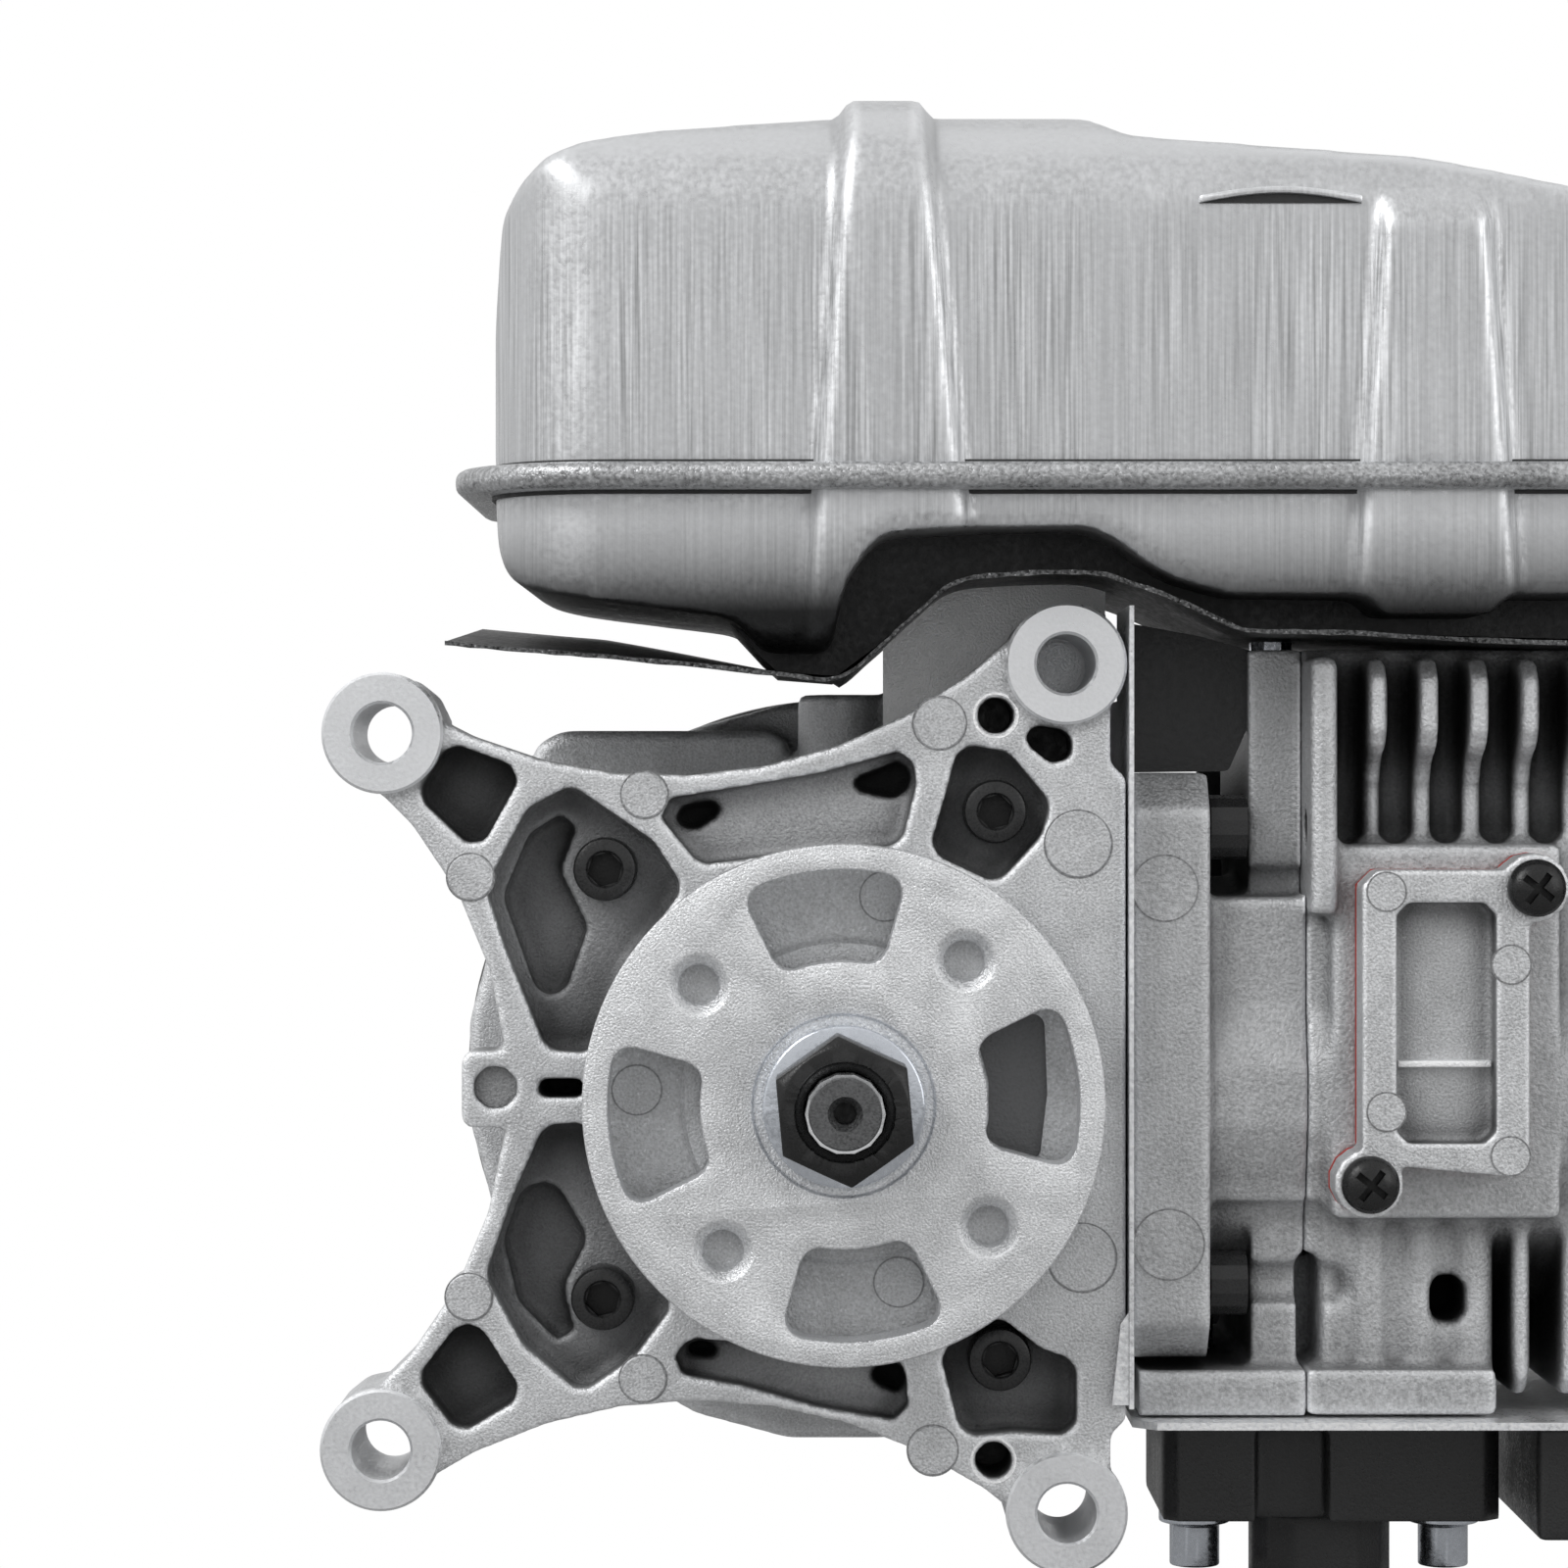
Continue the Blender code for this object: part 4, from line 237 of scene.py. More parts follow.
class Effects:
    """The shader node groups that the finishes share."""

    _made: dict[str, bpy.types.NodeTree] = {}

    @classmethod
    def get(cls, name: str) -> bpy.types.NodeTree:
        """The group of that name, built the first time it is asked for."""
        if name not in cls._made:
            cls._made[name] = getattr(cls, "_" + name)()
        return cls._made[name]

    @staticmethod
    def _worked_surface() -> bpy.types.NodeTree:
        """Grain, mottling, specks, a painted highlight on sharp edges (partly for worn edges) and painted shade in
        hollows.

        Returns:
            A group that turns a colour and a roughness into ones that change over the surface,
            with a grain height for a bump.
        """
        graph, given, result = shader_group(
            "worked_surface",
            [
                ("Colour", "Color", (0.5, 0.5, 0.5, 1.0)),
                ("Roughness", "Float", 0.5),
                ("Grain Size", "Float", 0.5),
                ("Mottle", "Float", 0.1),
                ("Wear And Highlight", "Float", 0.2),
                ("Hollow Shade", "Float", 0.3),
                ("Specks", "Float", 0.1),
                ("Reach", "Float", 0.006),
            ],
            [("Colour", "Color"), ("Roughness", "Float"), ("Height", "Float")],
        )
        place = graph.millimetres()
        fine = graph.noise(place, graph.math("DIVIDE", 1.0, given.outputs["Grain Size"]), 3.0)
        fine = graph.spread(fine, 0.3, 0.7)
        broad = graph.noise(place, graph.math("DIVIDE", 0.07, given.outputs["Grain Size"]), 4.0)
        speck = graph.spread(graph.noise(place, 2.6, 1.0), 0.66, 0.74)
        pointed = graph.node("NewGeometry").outputs["Pointiness"]
        # painted highlight: sharp edges found by pointiness brighten the colour, partly standing for worn edges
        edge = graph.spread(pointed, 0.51, 0.58)
        # painted shade: hollows found by pointiness and by ambient occlusion darken the colour
        hollow = graph.spread(pointed, 0.49, 0.42)
        shade = graph.node("AmbientOcclusion", samples=8, only_local=True)
        graph.feed(shade.inputs["Distance"], given.outputs["Reach"])
        closed = graph.spread(shade.outputs["AO"], 0.92, 0.35)
        dark = graph.math("MULTIPLY", graph.math("MAXIMUM", closed, hollow), given.outputs["Hollow Shade"])
        grain = graph.math("SUBTRACT", graph.math("ADD", fine, broad), 1.0)
        level = graph.math("MULTIPLY_ADD", grain, given.outputs["Mottle"], 1.0)
        level = graph.math("MULTIPLY_ADD", edge, given.outputs["Wear And Highlight"], level)
        level = graph.math("MULTIPLY_ADD", speck, given.outputs["Specks"], level)
        level = graph.math("MULTIPLY", level, graph.math("SUBTRACT", 1.0, dark, clamp=True))
        graph.feed(result.inputs["Colour"], graph.vector("SCALE", given.outputs["Colour"], level))
        rough = graph.math("MULTIPLY_ADD", grain, 0.25, given.outputs["Roughness"])
        graph.feed(result.inputs["Roughness"], graph.math("MULTIPLY_ADD", dark, 0.3, rough, clamp=True))
        graph.feed(result.inputs["Height"], graph.math("MULTIPLY_ADD", broad, 0.4, fine))
        return graph.tree

    @staticmethod
    def _pocket_floor_shade() -> bpy.types.NodeTree:
        """Painted shade: darker floors that face forward and lie deeper than a place along Y.

        Returns:
            A group with a level of 1 elsewhere, and down to half that, as painted shade, on those floors.
        """
        graph, _, result = shader_group("pocket_floor_shade", [], [("Level", "Float")])
        place, facing = graph.node("SeparateXYZ"), graph.node("SeparateXYZ")
        graph.feed(place.inputs[0], graph.millimetres())
        graph.feed(facing.inputs[0], graph.node("TexCoord").outputs["Normal"])
        deep = graph.spread(place.outputs["Y"], 4.6, 6.4)
        ahead = graph.spread(facing.outputs["Y"], -0.35, -0.8)
        inside = graph.spread(place.outputs["Y"], 16.0, 13.5)
        share = graph.math("MULTIPLY", graph.math("MULTIPLY", deep, ahead), inside)
        graph.feed(result.inputs["Level"], graph.math("MULTIPLY_ADD", share, -0.5, 1.0))
        return graph.tree

    @staticmethod
    def _drawn_marks() -> bpy.types.NodeTree:
        """Upright scratches that a deep-drawn wall keeps, fading above a height.

        Returns:
            A group with a level of about 1 to multiply a colour by, and a height.
        """
        graph, given, result = shader_group(
            "drawn_marks",
            [("Strength", "Float", 0.3), ("Fade From", "Float", 110.0), ("Fade To", "Float", 120.0)],
            [("Level", "Float"), ("Height", "Float")],
        )
        place = graph.millimetres()
        split = graph.node("SeparateXYZ")
        graph.feed(split.inputs[0], place)
        squeezed = graph.vector("MULTIPLY", place, (2.6, 2.6, 0.045))
        lines = graph.noise(squeezed, 1.0, 3.0)
        bands = graph.noise(graph.vector("MULTIPLY", place, (0.16, 0.16, 0.02)), 1.0, 2.0)
        sharp = graph.math("MULTIPLY_ADD", lines, 2.0, -1.0)
        patch = graph.spread(bands, 0.35, 0.62)
        fade = graph.node("MapRange", clamp=True)
        for name, value in (("Value", split.outputs["Z"]), ("To Min", 1.0), ("To Max", 0.0)):
            graph.feed(fade.inputs[name], value)
        graph.feed(fade.inputs["From Min"], given.outputs["Fade From"])
        graph.feed(fade.inputs["From Max"], given.outputs["Fade To"])
        share = graph.math("MULTIPLY", fade.outputs["Result"], graph.math("MULTIPLY_ADD", patch, 0.7, 0.3))
        wave = graph.math("MULTIPLY", sharp, share)
        graph.feed(result.inputs["Level"], graph.math("MULTIPLY_ADD", wave, given.outputs["Strength"], 1.0))
        graph.feed(result.inputs["Height"], wave)
        return graph.tree

    @staticmethod
    def _turned_marks() -> bpy.types.NodeTree:
        """Fine rings that a lathe leaves around the Y axis through a centre.

        Returns:
            A group with a level of about 1 to multiply a colour by, and a height.
        """
        graph, given, result = shader_group(
            "turned_marks",
            [("Strength", "Float", 0.2), ("Centre", "Vector", (0.0, 0.0, 0.0)), ("Rings", "Float", 2.5)],
            [("Level", "Float"), ("Height", "Float")],
        )
        off = graph.vector("SUBTRACT", graph.millimetres(), given.outputs["Centre"])
        flat = graph.vector("MULTIPLY", off, (1.0, 0.0, 1.0))
        length = graph.node("VectorMath", operation="LENGTH")
        graph.feed(length.inputs[0], flat)
        rings = graph.node("TexNoise", noise_dimensions="1D")
        graph.feed(rings.inputs["W"], graph.math("MULTIPLY", length.outputs["Value"], given.outputs["Rings"]))
        graph.feed(rings.inputs["Scale"], 1.0)
        graph.feed(rings.inputs["Detail"], 3.0)
        wave = graph.math("MULTIPLY_ADD", rings.outputs["Fac"], 2.0, -1.0)
        graph.feed(result.inputs["Level"], graph.math("MULTIPLY_ADD", wave, given.outputs["Strength"], 1.0))
        graph.feed(result.inputs["Height"], wave)
        return graph.tree

    @staticmethod
    def _braided_marks() -> bpy.types.NodeTree:
        """The crossing strands of a braided cord that runs along X.

        Returns:
            A group with a level of about 1 to multiply a colour by, and a height.
        """
        graph, given, result = shader_group(
            "braided_marks",
            [("Strength", "Float", 0.3), ("Pitch", "Float", 1.6)],
            [("Level", "Float"), ("Height", "Float")],
        )
        split = graph.node("SeparateXYZ")
        graph.feed(split.inputs[0], graph.millimetres())
        across = graph.math("ADD", split.outputs["Y"], split.outputs["Z"])
        step = graph.math("DIVIDE", FULL_TURN, given.outputs["Pitch"])
        waves = []
        for side in (1.0, -1.0):
            run = graph.math("MULTIPLY_ADD", across, side, split.outputs["X"])
            waves.append(graph.math("SINE", graph.math("MULTIPLY", run, step)))
        wave = graph.math("MAXIMUM", *waves)
        graph.feed(result.inputs["Level"], graph.math("MULTIPLY_ADD", wave, given.outputs["Strength"], 1.0))
        graph.feed(result.inputs["Height"], wave)
        return graph.tree


@dataclass(frozen=True)
class Finish:
    """How one kind of surface looks. Grain sizes and depths are in millimetres."""

    name: str
    slot: Slot
    colour: tuple[float, float, float]
    metallic: float
    roughness: float
    grain: float = 0.5
    depth: float = 0.03
    mottle: float = 0.25
    # How much sharp edges are brightened: a painted highlight, partly for worn edges.
    edge_wear_and_highlight: float = 0.35
    # How much hollows, found within reach, are darkened as painted shade.
    hollow_shade: float = 0.55
    specks: float = 0.0
    reach: float = 6.0
    marks: Marks = Marks.NONE
    marks_strength: float = 0.3
    marks_depth: float = 0.01
    centre: Place = (0.0, 0.0, 0.0)
    fade: Point = (108.0, 120.0)
    # Heights along Z over which painted shade darkens the colour towards the bottom.
    underside_shade: Point | None = None
    # Whether deep, forward-facing floors get painted shade.
    shaded_pocket_floors: bool = False

    def material(self) -> bpy.types.Material:
        """The finish as a material, built once.

        Returns:
            The material.
        """
        found = bpy.data.materials.get(self.name)
        if found:
            return found
        made = bpy.data.materials.new(self.name)
        made.use_nodes = True
        graph = Graph(made.node_tree)
        shader = made.node_tree.nodes["Principled BSDF"]
        shader.inputs["Metallic"].default_value = self.metallic
        surface = graph.node("Group", node_tree=Effects.get("worked_surface"))
        values = {
            "Colour": (*self.colour, 1.0),
            "Roughness": self.roughness,
            "Grain Size": self.grain,
            "Mottle": self.mottle,
            "Wear And Highlight": self.edge_wear_and_highlight,
            "Hollow Shade": self.hollow_shade,
            "Specks": self.specks,
            "Reach": self.reach * MM,
        }
        for name, value in values.items():
            surface.inputs[name].default_value = value
        colour = surface.outputs["Colour"]
        bump = graph.node("Bump")
        bump.inputs["Distance"].default_value = self.depth * MM
        graph.feed(bump.inputs["Height"], surface.outputs["Height"])
        if self.marks is not Marks.NONE:
            tool = graph.node("Group", node_tree=Effects.get(self.marks.value + "_marks"))
            tool.inputs["Strength"].default_value = self.marks_strength
            if self.marks is Marks.TURNED:
                tool.inputs["Centre"].default_value = self.centre
            if self.marks is Marks.DRAWN:
                tool.inputs["Fade From"].default_value, tool.inputs["Fade To"].default_value = self.fade
            colour = graph.vector("SCALE", colour, tool.outputs["Level"])
            cuts = graph.node("Bump")
            cuts.inputs["Distance"].default_value = self.marks_depth * MM
            graph.feed(cuts.inputs["Height"], tool.outputs["Height"])
            graph.feed(cuts.inputs["Normal"], bump.outputs["Normal"])
            bump = cuts
        # painted shade on deep, forward-facing floors
        if self.shaded_pocket_floors:
            floors = graph.node("Group", node_tree=Effects.get("pocket_floor_shade"))
            colour = graph.vector("SCALE", colour, floors.outputs["Level"])
        # painted shade: the colour darkens towards the bottom, between two heights along Z
        if self.underside_shade:
            split = graph.node("SeparateXYZ")
            graph.feed(split.inputs[0], graph.millimetres())
            clean = graph.spread(split.outputs["Z"], *self.underside_shade)
            colour = graph.vector("SCALE", colour, graph.math("MULTIPLY_ADD", clean, 0.94, 0.06))
        graph.feed(shader.inputs["Base Color"], colour)
        graph.feed(shader.inputs["Roughness"], surface.outputs["Roughness"])
        graph.feed(shader.inputs["Normal"], bump.outputs["Normal"])
        return made


def grey(level: float, tint: float = 0.012) -> tuple[float, float, float]:
    """A nearly neutral grey with a trace of blue."""
    return (level * (1.0 - tint), level, level * (1.0 + 1.5 * tint))


# The cast finishes paint shade into their hollows, such as the gaps between the cylinder's fins, and a highlight
# on their edges.
CAST = Finish("cast_aluminium_skin", Slot.CAST, grey(0.64), 0.65, 0.48, 0.34, 0.06, 0.5, 0.8, 0.92, 0.25, 13.0)
# The front casting, with painted shade on the floors of its deep recesses.
CAST_FRONT = replace(CAST, name="cast_front_skin", shaded_pocket_floors=True)
PRINT = Finish("ejector_print", Slot.CAST, grey(0.62), 0.65, 0.48, 0.34, 0.05, 0.5, 0.0, 0.0)
# A dark grey ring about each ejector print: a painted shadow line.
PRINT_SHADOW_LINE = Finish("ejector_print_shadow_line", Slot.CAST, grey(0.22), 0.65, 0.5, 0.34, 0.05, 0.9, 0.3, 0.3)
CAST_REAR = Finish("cast_rear_skin", Slot.CAST, grey(0.6), 0.65, 0.48, 0.34, 0.06, 0.5, 0.8, 0.85, 0.25, 5.0)
CAST_FACE = Finish("cast_face_behind_disc", Slot.CAST, grey(0.56), 0.5, 0.5, 0.34, 0.07, 0.5, 0.0, 0.0, 0.3)
CAST_SHADE = Finish("cast_face_in_shade", Slot.CAST, grey(0.3), 0.5, 0.5, 0.34, 0.07, 0.5, 0.0, 0.0)
# A dark grey copy of the casting that paints shade on a recessed floor.
CAST_POCKET_SHADE = Finish("cast_aluminium_pocket_shade", Slot.CAST, grey(0.12), 0.5, 0.55, 0.45, 0.05, 0.5, 0.5, 0.6, 0.1)
CAST_CYLINDER = Finish("cast_cylinder_skin", Slot.CAST, grey(0.5), 0.6, 0.5, 0.45, 0.07, 0.5, 0.8, 0.97, 0.2, 9.0)
MACHINED = Finish("machined_faces", Slot.MACHINED, grey(0.62), 0.8, 0.4, 0.5, 0.01, 0.1, 0.5, 0.5)
DISC = Finish(
    "turned_disc", Slot.MACHINED, grey(0.78), 0.75, 0.4, 0.3, 0.06, 0.45, 0.0, 0.0, 0.35,
    marks=Marks.TURNED, marks_strength=0.1, marks_depth=0.006,
)
SHEET = Finish("rolled_sheet", Slot.SHEET, grey(0.55), 0.8, 0.4, 0.6, 0.03, 0.5, 0.8, 0.6, 0.2)
DRAWN = Finish(
    "drawn_shell", Slot.DRAWN, grey(0.63), 0.85, 0.4, 0.8, 0.012, 0.12, 0.6, 0.45,
    marks=Marks.DRAWN, marks_strength=0.95, marks_depth=0.03,
)
# The lower shell, darkened towards its underside as painted shade.
DRAWN_LOW = Finish(
    "drawn_shell_shaded_below", Slot.DRAWN, grey(0.66), 0.85, 0.4, 0.8, 0.012, 0.12, 0.6, 0.6,
    marks=Marks.DRAWN, marks_strength=0.35, marks_depth=0.02, underside_shade=(63.0, 74.5),
)
SEAM = Finish("rolled_seam", Slot.DRAWN, grey(0.46), 0.8, 0.36, 0.6, 0.08, 0.8, 0.0, 0.0, 0.4)
SCORCHED = Finish("scorched_sheet", Slot.SCORCHED, grey(0.02), 0.3, 0.5, 0.8, 0.04, 0.5, 0.8, 0.5, 0.2)
SHEARED = Finish("sheared_edge", Slot.BRIGHT, grey(0.1), 0.7, 0.4, 0.5, 0.1, 1.8, 0.0, 0.0, 2.5)
BRIGHT = Finish("ground_steel", Slot.BRIGHT, grey(0.5), 0.95, 0.28, 0.4, 0.01, 0.15, 0.4, 0.5)
ZINC = Finish("zinc_plate", Slot.ZINC, (0.62, 0.65, 0.7), 1.0, 0.22, 0.6, 0.01, 0.15, 0.3, 0.5)
SHAFT = Finish("oiled_shaft", Slot.BRIGHT, grey(0.14), 0.8, 0.35, 0.3, 0.02, 0.5, 0.0, 0.0)
BLACK_OXIDE = Finish("black_oxide", Slot.BLACK_OXIDE, grey(0.012), 0.3, 0.3, 0.3, 0.01, 0.3, 1.2, 0.5)
PLASTIC = Finish("moulded_plastic", Slot.PLASTIC, grey(0.016), 0.0, 0.36, 0.35, 0.02, 0.3, 0.8, 0.3)
RUBBER = Finish("rubber", Slot.RUBBER, grey(0.02), 0.0, 0.6, 0.4, 0.02, 0.3, 0.3, 0.3)
CERAMIC = Finish("glazed_ceramic", Slot.CERAMIC, (0.8, 0.79, 0.76), 0.0, 0.12, 2.0, 0.005, 0.04, 0.0, 0.4)
CASE_GASKET = Finish("fibre_gasket", Slot.CASE_GASKET, (0.13, 0.12, 0.11), 0.0, 0.8, 0.3, 0.04, 0.4, 0.2, 0.3)
TRANSFER_GASKET = Finish("red_gasket", Slot.TRANSFER_GASKET, (0.4, 0.05, 0.04), 0.0, 0.6, 0.4, 0.03, 0.3, 0.2, 0.3)
FOAM = Finish("open_foam", Slot.FOAM, grey(0.06), 0.0, 0.9, 1.0, 0.4, 0.8, 0.5, 0.6)
ROPE = Finish(
    "braided_cord", Slot.ROPE, (0.72, 0.7, 0.66), 0.0, 0.75, 0.3, 0.05, 0.2, 0.2, 0.5,
    marks=Marks.BRAIDED, marks_strength=0.3, marks_depth=0.3,
)

SLOT_FINISH = {
    finish.slot: finish
    for finish in (
        CAST, MACHINED, SHEET, DRAWN, SCORCHED, BRIGHT, ZINC, BLACK_OXIDE, PLASTIC, RUBBER, CERAMIC,
        CASE_GASKET, TRANSFER_GASKET, FOAM, ROPE,
    )
}


# ---------------------------------------------------------------- mesh work
def arc(centre: Point, radius: float, start: float, end: float, steps: int) -> list[Point]:
    """Points of an arc from angle start to angle end, in degrees."""
    angles = [math.radians(start + (end - start) * i / steps) for i in range(steps + 1)]
    return [(centre[0] + radius * math.cos(a), centre[1] + radius * math.sin(a)) for a in angles]


def circle(centre: Point, radius: float, sides: int = 96) -> list[Point]:
    """Points of a full circle."""
    return arc(centre, radius, 0.0, 360.0 * (sides - 1) / sides, sides - 1)


def rectangle(low: Point, high: Point) -> list[Point]:
    """The corners of a rectangle."""
    return [(low[0], low[1]), (high[0], low[1]), (high[0], high[1]), (low[0], high[1])]


def rounded(corners: Sequence[Point], radius: float, steps: int = 6) -> list[Point]:
    """An outline with each corner turned into an arc, as far as its sides allow.

    Args:
        corners: The corners, in order.
        radius: The arcs' radius.
        steps: Chords in each arc.

    Returns:
        The rounded outline's points.
    """
    outline: list[Point] = []
    for index, corner in enumerate(corners):
        here = Vector(corner)
        before = Vector(corners[index - 1]) - here
        after = Vector(corners[(index + 1) % len(corners)]) - here
        half = before.angle(after) / 2.0
        run = min(radius / math.tan(half), before.length * 0.48, after.length * 0.48)
        reach = run * math.tan(half)
        middle = here + (before.normalized() + after.normalized()).normalized() * reach / math.sin(half)
        first = here + before.normalized() * run - middle
        last = here + after.normalized() * run - middle
        start = math.degrees(math.atan2(first.y, first.x))
        turn = (math.degrees(math.atan2(last.y, last.x)) - start + 180.0) % 360.0 - 180.0
        outline += arc(tuple(middle), reach, start, start + turn, steps)
    return outline


def prism(outline: Sequence[Point], axis: Axis, start: float, end: float) -> bmesh.types.BMesh:
    """An outline extruded along an axis.

    Args:
        outline: Points across the axis.
        axis: The axis to extrude along.
        start: Place of one end.
        end: Place of the other end.

    Returns:
        The closed shape.
    """
    bm = bmesh.new()
    face = bm.faces.new([bm.verts.new(axis.place(point, start)) for point in outline])
    swept = bmesh.ops.extrude_face_region(bm, geom=[face])["geom"]
    moved = [item for item in swept if isinstance(item, bmesh.types.BMVert)]
    bmesh.ops.translate(bm, verts=moved, vec=Vector(axis.value) * (end - start))
    bmesh.ops.recalc_face_normals(bm, faces=bm.faces)
    return bm


def turned(
    profile: Sequence[Point], axis: Axis = Axis.Y, centre: Point = (0.0, 0.0), sides: int = 96
) -> bmesh.types.BMesh:
    """A closed profile spun about an axis.

    Args:
        profile: (radius, place along the axis) points. It starts and ends at radius 0 for a core.
        axis: The axis.
        centre: Where the axis is, given across it.
        sides: Steps of the spin.

    Returns:
        The closed shape.
    """
    bm = bmesh.new()
    verts = [bm.verts.new((radius, 0.0, along)) for radius, along in profile]
    core = profile[0][0] == 0 and profile[-1][0] == 0
    nexts = verts[1:] if core else verts[1:] + verts[:1]
    edges = [bm.edges.new(pair) for pair in zip(verts, nexts)]
    bmesh.ops.spin(
        bm, geom=verts + edges, cent=(0, 0, 0), axis=(0, 0, 1), angle=FULL_TURN, steps=sides, use_merge=True
    )
    bmesh.ops.remove_doubles(bm, verts=bm.verts, dist=1e-4)
    bmesh.ops.recalc_face_normals(bm, faces=bm.faces)
    turn = Vector((0, 0, 1)).rotation_difference(Vector(axis.value)).to_matrix().to_4x4()
    bmesh.ops.transform(bm, matrix=Matrix.Translation(axis.place(centre, 0.0)) @ turn, verts=bm.verts)
    return bm


def softened(profile: Sequence[Point], radius: float, steps: int = 3) -> list[Point]:
    """A profile with its corners off the axis rounded."""
    made = rounded(profile, radius, steps)
    ends = [point for point in (profile[0], profile[-1]) if point[0] == 0]
    if not ends:
        return made
    return [profile[0], *made[steps + 1 : -(steps + 1)], profile[-1]]


def box(low: Place, high: Place, radius: float = 0.0, segments: int = 3) -> bmesh.types.BMesh:
    """A block with all its edges rounded.

    Args:
        low: Lowest corner.
        high: Highest corner.
        radius: Radius of the edges.
        segments: Steps across each edge.

    Returns:
        The closed shape.
    """
    bm = bmesh.new()
    bmesh.ops.create_cube(bm, size=1.0)
    size = Vector(high) - Vector(low)
    bmesh.ops.scale(bm, vec=size, verts=bm.verts)
    bmesh.ops.translate(bm, vec=(Vector(high) + Vector(low)) / 2.0, verts=bm.verts)
    if radius:
        bmesh.ops.bevel(
            bm, geom=list(bm.edges), offset=radius, segments=segments, profile=0.5, affect="EDGES", material=-1
        )
    return bm


class Piece:
    """A mesh object on its way to being a finished piece."""

    def __init__(self, name: str, bm: bmesh.types.BMesh | None = None, mesh: bpy.types.Mesh | None = None) -> None:
        """Makes the object.

        Args:
            name: The piece's name.
            bm: Its shape in millimetres.
            mesh: Or its shape as a mesh in metres, which is copied.
        """
        if bm is not None:
            bmesh.ops.scale(bm, vec=(MM, MM, MM), verts=bm.verts)
            data = bpy.data.meshes.new(name)
            bm.to_mesh(data)
            bm.free()
        else:
            data = mesh.copy()
        self.obj = bpy.data.objects.new(name, data)
        bpy.context.scene.collection.objects.link(self.obj)

    @classmethod
    def of_node(cls, node: str, name: str) -> "Piece":
        """A copy of a CAD node, with its loose triangles merged."""
        made = cls(name, mesh=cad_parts[node].data)
        bm = bmesh.new()
        bm.from_mesh(made.obj.data)
        bmesh.ops.remove_doubles(bm, verts=bm.verts, dist=1e-6)
        bm.to_mesh(made.obj.data)
        bm.free()
        made.obj.data.materials.clear()
        return made

    def _apply(self) -> "Piece":
        """Turns the modifiers' result into the mesh."""
        graph = bpy.context.evaluated_depsgraph_get()
        made = bpy.data.meshes.new_from_object(self.obj.evaluated_get(graph))
        self.obj.modifiers.clear()
        old = self.obj.data
        self.obj.data = made
        bpy.data.meshes.remove(old)
        return self

    def combined(self, operation: str, shapes: Sequence[bmesh.types.BMesh]) -> "Piece":
        """Joins shapes to the piece, or cuts them from it, in one exact Boolean.

        Args:
            operation: UNION, DIFFERENCE or INTERSECT.
            shapes: Shapes in millimetres.

        Returns:
            The piece itself.
        """
        tools = bpy.data.collections.new("tools")
        bpy.context.scene.collection.children.link(tools)
        helpers = [Piece("tool", bm) for bm in shapes]
        for helper in helpers:
            bpy.context.scene.collection.objects.unlink(helper.obj)
            tools.objects.link(helper.obj)
        modifier = self.obj.modifiers.new("shape", "BOOLEAN")
        modifier.operation = operation
        modifier.operand_type = "COLLECTION"
        modifier.collection = tools
        self._apply()
        for helper in helpers:
            data = helper.obj.data
            bpy.data.objects.remove(helper.obj)
            bpy.data.meshes.remove(data)
        bpy.data.collections.remove(tools)
        return self

    def union(self, *shapes: bmesh.types.BMesh) -> "Piece":
        """Joins shapes to the piece."""
        return self.combined("UNION", shapes)

    def cut(self, *shapes: bmesh.types.BMesh) -> "Piece":
        """Cuts shapes from the piece."""
        return self.combined("DIFFERENCE", shapes)

    def common(self, *shapes: bmesh.types.BMesh) -> "Piece":
        """Keeps what the piece shares with every one of the shapes."""
        for shape in shapes:
            self.combined("INTERSECT", [shape])
        return self

    def half(self, place: float, axis: Axis, above: bool) -> "Piece":
        """Keeps the side of the piece above or below a plane across an axis, and closes it."""
        bm = bmesh.new()
        bm.from_mesh(self.obj.data)
        geometry = [*bm.verts, *bm.edges, *bm.faces]
        cut = bmesh.ops.bisect_plane(
            bm, geom=geometry, dist=1e-7, plane_co=Vector(axis.value) * place * MM, plane_no=axis.value,
            clear_inner=above, clear_outer=not above,
        )
        rim = [item for item in cut["geom_cut"] if isinstance(item, bmesh.types.BMEdge)]
        bmesh.ops.holes_fill(bm, edges=rim)
        bmesh.ops.recalc_face_normals(bm, faces=bm.faces)
        bm.to_mesh(self.obj.data)
        bm.free()
        return self

    def cast(self, voxel: float, smooth: int = 4, limit: int = 190000) -> "Piece":
        """Gives the piece the soft edges and fillets of a casting, on an even, dense mesh.

        Args:
            voxel: Size of the mesh's faces.
            smooth: Passes of smoothing.
            limit: Most triangles to keep.

        Returns:
            The piece itself.
        """
        dense = self.obj.modifiers.new("dense", "REMESH")
        dense.mode = "VOXEL"
        dense.voxel_size = voxel * MM
        soft = self.obj.modifiers.new("soft", "SMOOTH")
        soft.factor = 0.5
        soft.iterations = smooth
        self._apply()
        triangles = 2 * len(self.obj.data.polygons)
        if triangles > limit:
            thin = self.obj.modifiers.new("thin", "DECIMATE")
            thin.ratio = limit / triangles
            self._apply()
        self.obj.data.shade_smooth()
        return self

